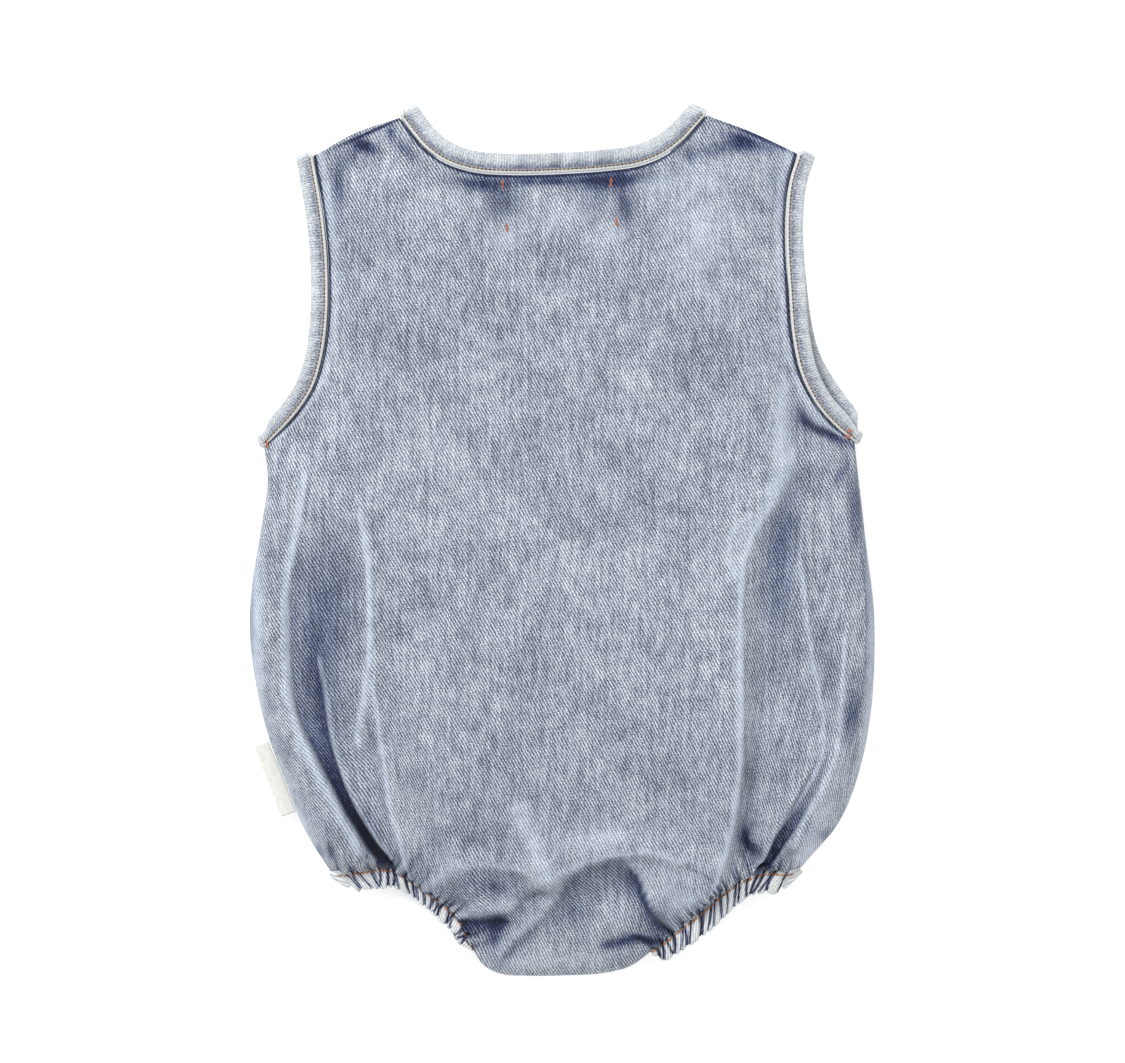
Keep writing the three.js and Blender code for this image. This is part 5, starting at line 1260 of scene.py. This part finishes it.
# The crotch flap
# The back's lower end, turned under at the crotch fold to lie over the front's hem and snap to it.
FLAP = {"reach": 14, "height": 3.9, "margin": 0.06, "turn_in": 6, "turn_narrows": 0.036, "narrows": 0.06}
FLAP_MESH = {"turn": 6, "under": 10, "columns": 60}
fold_shares = np.linspace(FLAP["margin"], 1 - FLAP["margin"], FLAP_MESH["columns"] + 1)
fold_line = seam_curve(CROTCH_FOLD)(fold_shares)
flap_radius = CROTCH_FOLD_HEIGHT - 2 * SEAM_GAP - FLAP["height"]
flap_rows = []
for j in range(FLAP_MESH["turn"] + 1):
    angle = math.pi / 2 * j / FLAP_MESH["turn"]
    narrowing = 1 - FLAP["turn_narrows"] * j / FLAP_MESH["turn"]
    inward = FLAP["turn_in"] * (1 - math.cos(angle))
    level = FLAP["height"] + flap_radius * (1 - math.sin(angle))
    flap_rows.append(np.column_stack([
        fold_line[:, 0] * narrowing, fold_line[:, 1] + inward, np.full(len(fold_line), level)]))
flap_end = FRONT_CROTCH_LEFT[1] + FLAP["reach"]
turned_row = flap_rows[-1]
for j in range(1, FLAP_MESH["under"] + 1):
    part = j / FLAP_MESH["under"]
    row = turned_row.copy()
    row[:, 0] *= 1 - FLAP["narrows"] * part
    row[:, 1] += (flap_end - row[:, 1]) * part
    flap_rows.append(row)
flap_points = np.array(flap_rows)
flap_blank = np.zeros(flap_points.shape[:2])
flap_piece = cloth_piece("crotch_flap_cloth", flap_points, flap_points[..., :2], flap_blank, flap_blank)
thicken(flap_piece, CLOTH)
flap_piece.data.materials.append(panel_denim)
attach(flap_piece, "root")
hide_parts("crotch_flap")


# The neck binding
# A strip of the same denim, bleached paler, folded double over the whole neck edge. It runs along
# the back, turns down at the shoulders, and comes back along the front, which lies on the surface.
BINDING_THICKNESS = 2.4
BAND_AROUND = 22
STITCH_INSET = 2.2
BAND_WEAR = {
    "ridge_at": 0.85, "ridge_width": 1.1, "ridge": 1.8, "rim_from": 2.8, "rim_fade": 4, "rim": 0.6,
    "needle_width": 0.5, "needle_dye": 0.7, "ribbed_dye": 0.08, "ribbed_from": 0.8,
    "end_rub": 0.8, "end_gain": 2, "end_spread": 4,
}
BAND_GRAIN = 0.6
# A binding's section is a rounded box: these powers set how square it is across and up
BAND_SQUARE = {"across": 0.75, "up": 0.6}
SEAM_STEP = 0.01
NECK_BAND = {
    "width": 10, "end_width": 10, "end_blend": 0.06, "steps": 190, "blend": 0.16, "turn_reach": 1,
    "inside": (-4, 300),
    "start_across": (0.9, 0.44), "start_out": (-0.44, 0.9),
    "end_across": (-0.92, 0.4), "end_out": (0.4, 0.92),
}
TURN_STEPS = 8


def band_outline(steps):
    """The rounded section of a folded band: shares of its width and of its thickness."""
    angle = np.linspace(0, 2 * math.pi, steps + 1)
    cos, sin = np.cos(angle + math.pi), np.sin(angle + math.pi)
    width = 0.5 + 0.5 * np.sign(cos) * np.abs(cos) ** BAND_SQUARE["across"]
    return width, 0.5 * np.sign(sin) * np.abs(sin) ** BAND_SQUARE["up"]


def band_run(curve, size, heights, flip):
    """One side of a binding: its seam, its width's direction and its height at each step."""
    t = np.linspace(0, 1, size["steps"] + 1)
    seam = curve(t)
    along = unit(curve(np.minimum(t + SEAM_STEP, 1)) - curve(np.maximum(t - SEAM_STEP, 0)))
    across = np.column_stack([-along[:, 1], along[:, 0]])
    away = np.sum(across * (np.array(size["inside"]) - seam), axis=1) < 0
    across[away] *= -1
    for place, ends in ((t, size["start_across"]), (1 - t, size["end_across"])):
        share = (1 - smooth(place / size["blend"]))[:, None]
        across = across * (1 - share) + unit(ends) * share
    across = unit(across)
    near_end = 1 - smooth((1 - t) / size["end_blend"])
    width = size["width"] + (size["end_width"] - size["width"]) * near_end
    run = {
        "seam": seam, "across": across, "width": width, "height": heights(t),
        "turn": np.zeros(len(t)), "out": across * 0,
    }
    return {key: value[::-1] for key, value in run.items()} if flip else run


def band_turn(seam, across, out, high, low, width, reach):
    """The turn of a band round the garment's edge, from the back down to the front."""
    turn = math.pi * np.arange(1, TURN_STEPS) / TURN_STEPS
    middle, radius = (high + low) / 2, (high - low) / 2
    out = unit(out)
    return {
        "seam": seam + out * (reach * radius * np.sin(turn))[:, None],
        "across": np.tile(unit(across), (len(turn), 1)),
        "width": np.full(len(turn), width),
        "height": middle + radius * np.cos(turn),
        "turn": turn,
        "out": np.tile(out, (len(turn), 1)),
    }


def band_joined(*runs):
    return {key: np.concatenate([run[key] for run in runs]) for key in runs[0]}


def band_up(run):
    """The way that a band's outer face looks at each step."""
    return np.column_stack([run["out"] * np.sin(run["turn"])[:, None], np.cos(run["turn"])])


def band_points(run, gap, thickness, around):
    """The points of a band's skin: a ring of its section at each step."""
    across_share, up_share = band_outline(around)
    across = np.column_stack([run["across"], np.zeros(len(run["across"]))])
    base = np.column_stack([run["seam"], run["height"]])
    reach = gap + across_share[None, :] * (run["width"][:, None] - gap)
    rise = up_share[None, :, None] * thickness
    return base[:, None] + across[:, None] * reach[..., None] + band_up(run)[:, None] * rise


def binding_band(name, back, front, size, back_height, dye_rows):
    """A whole binding, all round its opening, and how its upper run lies for the stitching."""
    low = BINDING_THICKNESS / 2
    upper = band_run(back, size, back_height, False)
    lower = band_run(front, size, lambda t: np.full(len(t), low), True)
    lower["turn"] = lower["turn"] + math.pi
    end_high, start_high = back_height(np.array([1.0]))[0], back_height(np.array([0.0]))[0]
    at_end = band_turn(
        back(np.array(1.0)), size["end_across"], size["end_out"], end_high, low, size["end_width"],
        size["turn_reach"])
    at_start = band_turn(
        back(np.array(0.0)), size["start_across"], size["start_out"], start_high, low, size["width"], 1)
    at_start = {key: value[::-1] for key, value in at_start.items()}
    at_start["turn"] = 2 * math.pi - at_start["turn"]
    at_start["out"] = -at_start["out"]
    run = band_joined(upper, at_end, lower, at_start)
    points = band_points(run, SEAM_GAP, BINDING_THICKNESS, BAND_AROUND)
    points = np.concatenate([points, points[:1]])
    points[..., 2] = np.maximum(points[..., 2], 0)
    length = np.concatenate([[0], np.cumsum(np.linalg.norm(np.diff(points[:, 0], axis=0), axis=1))])
    widths = band_outline(BAND_AROUND)[0] * size["width"]
    grain = np.zeros(points.shape[:2] + (2,))
    turn = TWILL_TURN
    along = length[:, None] + np.zeros(len(widths))
    over = widths[None, :] * BAND_GRAIN + np.zeros((len(length), 1))
    grain[..., 0] = along * math.cos(turn) - over * math.sin(turn)
    grain[..., 1] = along * math.sin(turn) + over * math.cos(turn)
    ridge = bump((widths - BAND_WEAR["ridge_at"]) / BAND_WEAR["ridge_width"])
    rim = smooth((widths - BAND_WEAR["rim_from"]) / BAND_WEAR["rim_fade"])
    needle_line = bump((widths - STITCH_INSET) / BAND_WEAR["needle_width"])
    ribbed = smooth((widths - STITCH_INSET) / BAND_WEAR["ribbed_from"]) * (1 - rim)
    dye_and_shade = patches(points[..., :2], dye_rows, "dye_and_shade")
    dye_and_shade += BAND_WEAR["needle_dye"] * needle_line + BAND_WEAR["ribbed_dye"] * ribbed
    # The strip is rubbed smooth where it turns over the shoulders and under the arms
    spread = BAND_WEAR["end_spread"]
    turning = np.abs(np.sin(np.append(run["turn"], run["turn"][0])))
    turning = np.concatenate([turning[-spread - 1:-1], turning, turning[1:spread + 1]])
    turning = np.convolve(turning, np.full(2 * spread + 1, 1 / (2 * spread + 1)), "valid")
    rub = np.maximum(BAND_WEAR["ridge"] * ridge, BAND_WEAR["rim"] * rim)
    end_rub = BAND_WEAR["end_rub"] * np.minimum(BAND_WEAR["end_gain"] * turning, 1)
    wear = np.maximum(rub[None, :], end_rub[:, None])
    piece = cloth_piece(name, points, grain, dye_and_shade, wear, closed=True)
    return piece, upper, length[-1]


binding_denim = denim("binding_denim", 0.55, 0.0, colour(226, 231, 231), 0.25)
NECK_SMUDGES = [
    {"x": -18, "y": 174, "long": 6, "wide": 4, "lies": 70, "dye_and_shade": 0.5},
    {"x": -3, "y": 174.6, "long": 5, "wide": 3, "lies": 80, "dye_and_shade": 0.6},
    {"x": 8, "y": 175, "long": 4, "wide": 3, "lies": 80, "dye_and_shade": 0.4},
    {"x": 19, "y": 176, "long": 5, "wide": 3.4, "lies": 70, "dye_and_shade": 0.5},
]


def neck_height(t):
    return from_table(TOP_HEIGHTS, "share", "back", SHOULDER_SHARE + t * (1 - 2 * SHOULDER_SHARE))


neck_piece, neck_run, neck_length = binding_band(
    "neck_band", seam_curve(BACK_NECK), seam_curve(FRONT_NECK), NECK_BAND, neck_height, NECK_SMUDGES)
neck_piece.data.materials.append(binding_denim)
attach(neck_piece, "root")
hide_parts("neck_binding")

# Topstitching: short slanted stitches of ochre thread, pressed a little into the cloth
STITCH = {"long": 1.9, "thick": 0.9, "flat": 0.7, "pitch": 1.9, "sunk": 0.12, "sides": 6, "rings": 4}
STITCH_STEP = 0.5


def thread_stitches(name, places, along, up, size):
    """A row of stitches at places of a seam, each laid along it."""
    bm = bmesh.new()
    for place, way, rise in zip(places, unit(along), unit(up)):
        made = bmesh.ops.create_uvsphere(
            bm, u_segments=size["sides"], v_segments=size["rings"], radius=0.5)
        side = np.cross(rise, way)
        for vert in made["verts"]:
            local = vert.co
            vert.co = Vector((
                place + side * local.x * size["thick"] + rise * local.y * size["thick"] * size["flat"]
                + way * local.z * size["long"]) * MM)
    for face in bm.faces:
        face.smooth = True
    mesh = bpy.data.meshes.new(name)
    bmesh.ops.recalc_face_normals(bm, faces=bm.faces)
    bm.to_mesh(mesh)
    bm.free()
    piece = bpy.data.objects.new(name, mesh)
    bpy.context.scene.collection.objects.link(piece)
    return piece


def thread(name, light, dark):
    """Twisted sewing thread, its colour uneven from the wash."""
    finish = bpy.data.materials.new(name)
    finish.use_nodes = True
    tree = finish.node_tree
    shader = tree.nodes["Principled BSDF"]
    place = tree.nodes.new("ShaderNodeTexCoord").outputs["Object"]
    faded = texture_noise(tree, place, 380.0, 2.0)
    twist = texture_noise(tree, place, 2600.0, 1.0)
    uneven = maths(tree, "MULTIPLY_ADD", twist, 0.5, maths(tree, "MULTIPLY", faded, 0.6))
    tint = ramp(tree, uneven, [(0.35, dark), (0.75, light)])
    raised = shader_node(tree, "ShaderNodeBump", {"Height": twist, "Strength": 0.6, "Distance": 0.0001})
    tree.links.new(tint, shader.inputs["Base Color"])
    tree.links.new(raised.outputs["Normal"], shader.inputs["Normal"])
    shader.inputs["Roughness"].default_value = 0.75
    return finish


ochre_thread = thread("ochre_thread", colour(156, 120, 84), colour(38, 30, 30))
orange_thread = thread("orange_thread", colour(214, 128, 86), colour(150, 82, 56))
rust_thread = thread("rust_thread", colour(200, 140, 92), colour(112, 70, 50))


def stitch_row(name, line, size):
    """Stitches end to end along a line of points."""
    length = np.concatenate([[0], np.cumsum(np.linalg.norm(np.diff(line, axis=0), axis=1))])
    count = int(length[-1] / size["pitch"])
    at = (np.arange(count) + 0.5) / count * length[-1]
    place, ahead, behind = (
        np.column_stack([np.interp(at + step, length, line[:, k]) for k in range(3)])
        for step in (0, STITCH_STEP, -STITCH_STEP))
    return thread_stitches(name, place, ahead - behind, np.tile((0.0, 0.0, 1.0), (count, 1)), size)


def band_stitches(name, run, inset):
    """The topstitching along a binding, a little way in from its seam."""
    height = run["height"] + BINDING_THICKNESS * 0.5 - STITCH["sunk"]
    line = np.column_stack([run["seam"] + run["across"] * inset, height])
    stitches = stitch_row(name, line, STITCH)
    stitches.data.materials.append(ochre_thread)
    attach(stitches, "root")
    return stitches


neck_stitches = band_stitches("neck_topstitch", neck_run, STITCH_INSET)


# The armhole bindings
# The same folded strip, narrower, round each armhole. The front half of the right one peeps out
# beyond the back half near the armpit.
ARM_BAND = {
    "width": 8.5, "end_width": 6.4, "end_blend": 0.06, "steps": 150, "blend": 0.14, "turn_reach": 0.5,
}
ARM_BANDS = [
    {"side": "left", "back": ARMHOLE_LEFT, "front": ARMHOLE_LEFT, "inside": (-400, 120),
     "start_across": (-0.93, -0.36), "start_out": (-0.36, 0.93),
     "end_across": (-0.3, 0.95), "end_out": (-0.95, -0.3)},
    {"side": "right", "back": ARMHOLE_RIGHT, "front": ARMHOLE_RIGHT_FRONT, "inside": (400, 120),
     "start_across": (0.93, -0.36), "start_out": (0.36, 0.93),
     "end_across": (0.42, 0.9), "end_out": (0.9, -0.42)},
]


def arm_height(t):
    return from_table(EDGE_HEIGHTS, "share", "back", t * ARM_SHARE)


for arm in ARM_BANDS:
    size = {**ARM_BAND, **arm}
    arm_piece, arm_run, arm_length = binding_band(
        "arm_band_" + arm["side"], seam_curve(arm["back"]), seam_curve(arm["front"]), size, arm_height, [])
    arm_piece.data.materials.append(binding_denim)
    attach(arm_piece, "root")
    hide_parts("arm_binding_" + arm["side"])
    arm_stitches = band_stitches("arm_topstitch_" + arm["side"], arm_run, STITCH_INSET)


# The leg casings
# A strip folded double over each leg edge with elastic inside, so it draws up in tight gathers.
# The grooves between them are darkened, partly by the dark indigo they keep and partly by painted shade, and
# the crests are worn almost white.
LEG_SEAM_GAP = 0.4
CASING_MESH = {"steps": 560, "around": 30}
CASING_GRAIN = {"along": 0.9, "across": 0.5}
# How the casings narrow at the crotch, and how they fill out and tuck in at the side
CASING_END = {
    "narrow": 0.35, "share": 0.07, "full": 0.2, "full_at": 0.03, "full_share": 0.06, "tuck": 0.7,
    "plain": 0.05,
}
# The orange stitching: how far across the casing it runs, and how far it stands out of the cloth
CASING_STITCH = {"across": 0.3, "out": 0.25, "pitch": 2.5, "long": 2.4, "thick": 1.1}
LEG_CASINGS = [
    {"side": "left", "back": CASING_LEFT_BACK, "front": CASING_LEFT_FRONT, "sign": -1},
    {"side": "right", "back": CASING_RIGHT_BACK, "front": CASING_RIGHT_FRONT, "sign": 1},
]
casing_denim = denim("casing_denim", 1.8, 0.22, colour(240, 242, 243), 0.8)


def casing_run(rows, heights, flip):
    t = np.linspace(0, 1, CASING_MESH["steps"] + 1)
    seam = seam_curve(column(rows, "seam"))(t)
    across = seam_curve(column(rows, "edge"))(t) - seam
    run = {
        "seam": seam, "across": unit(across), "height": heights(t), "turn": np.zeros(len(t)),
        "out": across * 0, "width": np.linalg.norm(across, axis=1), "share": t,
    }
    return {key: value[::-1] for key, value in run.items()} if flip else run


for casing in LEG_CASINGS:
    low = CASING_THICKNESS / 2
    upper = casing_run(casing["back"], lambda t: casing_height(casing["back"], t), True)
    lower = casing_run(casing["front"], lambda t: np.full(len(t), low), False)
    lower["turn"] = lower["turn"] + math.pi
    corner, corner_edge = np.array(casing["back"][0]["seam"]), np.array(casing["back"][0]["edge"])
    across = corner_edge - corner
    out = np.array([-casing["sign"] * across[1], casing["sign"] * across[0]])
    bend = band_turn(corner, across, out, casing["back"][0]["height"], low, np.linalg.norm(across), 1)
    bend["share"] = np.zeros(len(bend["turn"]))
    run = band_joined(upper, bend, lower)
    across_share, up_share = band_outline(CASING_MESH["around"])
    starts = smooth(run["share"] / CASING_END["plain"])[:, None]
    depth = starts * groove(gathers[casing["side"]], run["share"][:, None], across_share[None, :])
    crest = starts * puff(gathers[casing["side"]], run["share"][:, None], across_share[None, :])
    # The crotch end narrows, where the crotch hem lies over it
    fullness = smooth((1 - run["share"]) / CASING_END["share"])
    fullness = CASING_END["narrow"] + (1 - CASING_END["narrow"]) * fullness
    # The casing is fuller toward its side end
    fullness += CASING_END["full"] * bump((run["share"] - CASING_END["full_at"]) / CASING_END["full_share"])
    run["width"] = run["width"] * fullness
    points = band_points(run, LEG_SEAM_GAP, CASING_THICKNESS, CASING_MESH["around"])
    # Grooves sink into the upper and lower faces, and pull the outer edge in
    sink = GROOVE["deep"] * depth - GROOVE["puff"] * (crest - GROOVE["puff_level"])
    sink = sink * 2 * up_share[None, :]
    sink[-len(lower["share"]):] *= GROOVE["front_share"]
    points -= band_up(run)[:, None] * sink[..., None]
    near_edge = smooth((across_share - GROOVE["edge_from"]) / (1 - GROOVE["edge_from"]))[None, :]
    pull = GROOVE["scallop"] * (depth - GROOVE["crest_out"] * crest) * near_edge
    points[..., :2] -= run["across"][:, None] * pull[..., None]
    # The side end is tucked in toward its outer edge, so that it goes on from the body's outline
    tuck = CASING_END["tuck"] * across_share[None, :] * np.sin(run["turn"])[:, None]
    points[..., :2] -= run["out"][:, None] * tuck[..., None]
    points[..., 2] = np.maximum(points[..., 2], 0)
    length = np.concatenate([[0], np.cumsum(np.linalg.norm(np.diff(points[:, 0], axis=0), axis=1))])
    widths = across_share[None, :] * run["width"][:, None]
    grain = np.stack([
        length[:, None] * CASING_GRAIN["along"] + 0 * widths, widths * CASING_GRAIN["across"]], -1)
    # The grooves are darkened by their depth: part indigo, part painted shade
    dye_and_shade = GROOVE["dye_and_shade"] * depth ** GROOVE["dye_and_shade_power"]
    wear = GROOVE["rub"] * crest ** GROOVE["rub_power"] + GROOVE["end_rub"] * (1 - starts)
    casing_piece = cloth_piece("leg_band_" + casing["side"], points, grain, dye_and_shade, wear, rims=True)
    casing_piece.data.materials.append(casing_denim)
    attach(casing_piece, "root")
    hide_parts("leg_casing_" + casing["side"])
    ring = np.argmin(np.abs(across_share - CASING_STITCH["across"]) + (up_share < 0))
    stitched = points[:len(upper["share"]), ring] + np.array([0, 0, CASING_STITCH["out"]])
    casing_stitches = stitch_row("casing_stitch_" + casing["side"], stitched, {**STITCH, **CASING_STITCH})
    casing_stitches.data.materials.append(rust_thread)
    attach(casing_stitches, "root")


# The side label
# A blank cream strip folded double along its outer edge, its two ends caught in the left side seam.
LABEL = {"from": 0.781, "to": 0.896, "clear": 1.1, "width": 7.2, "layer": 0.7, "gap": 0.4}
LABEL_MESH = {"rows": 40, "flat": 10, "arc": 8}
RIBBON_PITCH = 0.0006
left_edge = side_edge(ARMHOLE_LEFT, SIDE_LEFT)
label_v = np.linspace(LABEL["from"], LABEL["to"], LABEL_MESH["rows"] + 1)
label_seam = left_edge(label_v)
label_along = unit(label_seam[-1] - label_seam[0])
label_away = np.array([label_along[1], -label_along[0]])
fold_radius = (LABEL["layer"] + LABEL["gap"]) / 2
bend_at = LABEL["width"] - fold_radius - LABEL["layer"] / 2
flat_run = np.linspace(0, bend_at, LABEL_MESH["flat"], endpoint=False)
arc = np.linspace(math.pi / 2, -math.pi / 2, LABEL_MESH["arc"] + 1)
profile_out = np.concatenate([flat_run, bend_at + fold_radius * np.cos(arc), flat_run[::-1]])
profile_up = np.concatenate([
    np.full(len(flat_run), fold_radius), fold_radius * np.sin(arc), np.full(len(flat_run), -fold_radius)])
high_edge, low_edge = (from_table(EDGE_HEIGHTS, "share", face, label_v) for face in ("back", "front"))
edge_height = (high_edge + low_edge) / 2
label_base = np.column_stack([label_seam + label_away * LABEL["clear"], edge_height])
label_points = label_base[:, None] + np.zeros((1, len(profile_out), 3))
label_points[..., :2] += label_away * profile_out[None, :, None]
label_points[..., 2] += profile_up[None, :]
label_length = np.linspace(0, np.linalg.norm(label_seam[-1] - label_seam[0]), len(label_v))
label_grain = np.stack(np.broadcast_arrays(profile_out[None, :], label_length[:, None]), -1)
label_blank = np.zeros(label_points.shape[:2])
label_piece = cloth_piece("blank_label", label_points, label_grain, label_blank, label_blank)
thicken(label_piece, LABEL["layer"])

label_finish = bpy.data.materials.new("cream_ribbon")
label_finish.use_nodes = True
label_tree = label_finish.node_tree
label_shader = label_tree.nodes["Principled BSDF"]
label_place = mesh_value(label_tree, "cloth", "Vector")
label_thread = maths(label_tree, "SINE", shader_node(
    label_tree, "ShaderNodeVectorMath", {0: label_place, 1: (0, 2 * math.pi / RIBBON_PITCH, 0)},
    operation="DOT_PRODUCT").outputs["Value"])
label_fleck = texture_noise(label_tree, label_place, 500.0, 3.0)
label_tint = ramp(label_tree, maths(label_tree, "MULTIPLY_ADD", label_thread, 0.12, label_fleck), [
    (0.2, colour(222, 222, 215)), (0.8, colour(244, 244, 238))])
label_bump = shader_node(
    label_tree, "ShaderNodeBump", {"Height": label_thread, "Strength": 0.4, "Distance": 0.0001})
label_tree.links.new(label_tint, label_shader.inputs["Base Color"])
label_tree.links.new(label_bump.outputs["Normal"], label_shader.inputs["Normal"])
label_shader.inputs["Roughness"].default_value = 0.7
label_piece.data.materials.append(label_finish)
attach(label_piece, "root")
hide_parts("side_label")


# The tacks
# Short bars of orange thread: four on the back below the neck, and one at each armpit.
TACKS = [
    {"x": -27.2, "y": 164.2, "turn": 94, "long": 4.4, "rows": 2},
    {"x": -25.3, "y": 144.2, "turn": 100, "long": 4.0, "rows": 2},
    {"x": 22.6, "y": 165.0, "turn": 84, "long": 4.4, "rows": 2},
    {"x": 25.2, "y": 146.8, "turn": 98, "long": 4.2, "rows": 2},
    {"x": 132.2, "y": 49.4, "turn": 72, "long": 6.0, "rows": 3},
    {"x": -135.8, "y": 44.6, "turn": 80, "long": 3.0, "rows": 2},
]
# Two threads end to end in each row, the rows side by side, lying just above the cloth or the binding
TACK = {"apart": 0.55, "at": (-0.25, 0.25), "above": 0.1, "on_binding": 1.6, "binding_from": 120}
TACK_THREAD = {**STITCH, "long": 2.4, "thick": 0.55}
flat_places = back_points.reshape(-1, 3)
tack_places, tack_ways = [], []
for tack in TACKS:
    turn = math.radians(tack["turn"])
    way = np.array([math.cos(turn), math.sin(turn)])
    side = np.array([-way[1], way[0]])
    for k in range(tack["rows"]):
        for half in TACK["at"]:
            place = np.array([tack["x"], tack["y"]]) + side * (k - (tack["rows"] - 1) / 2) * TACK["apart"]
            place = place + way * tack["long"] * half
            near = np.argmin(np.sum((flat_places[:, :2] - place) ** 2, axis=1))
            level = flat_places[near, 2] + CLOTH / 2 + TACK["above"]
            if abs(tack["x"]) > TACK["binding_from"]:
                level += TACK["on_binding"]
            tack_places.append(np.array([place[0], place[1], level]))
            tack_ways.append(np.array([way[0], way[1], 0.0]))
tack_piece = thread_stitches(
    "thread_tacks", tack_places, tack_ways, np.tile((0.0, 0.0, 1.0), (len(tack_places), 1)), TACK_THREAD)
tack_piece.data.materials.append(orange_thread)
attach(tack_piece, "root")


# The crotch snaps
# Three pressed metal caps under the front's crotch hem; nothing of them shows from above.
snap_metal = bpy.data.materials.new("brushed_snap_metal")
snap_metal.use_nodes = True
snap_tree = snap_metal.node_tree
snap_shader = snap_tree.nodes["Principled BSDF"]
snap_place = snap_tree.nodes.new("ShaderNodeTexCoord").outputs["Object"]
snap_brush = texture_noise(snap_tree, stretched(snap_tree, snap_place, (3000.0, 300.0, 300.0)), 1.0, 2.0)
snap_tint = ramp(snap_tree, snap_brush, [(0.3, colour(150, 152, 156)), (0.7, colour(205, 207, 210))])
snap_tree.links.new(snap_tint, snap_shader.inputs["Base Color"])
snap_tree.links.new(maths(snap_tree, "MULTIPLY_ADD", snap_brush, 0.3, 0.22), snap_shader.inputs["Roughness"])
snap_shader.inputs["Metallic"].default_value = 0.9
for number in (1, 2, 3):
    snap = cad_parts[f"crotch_snap_{number}"]
    snap.data.materials.clear()
    snap.data.materials.append(snap_metal)


# The bounds of everything shown, without the backdrop
low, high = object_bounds()
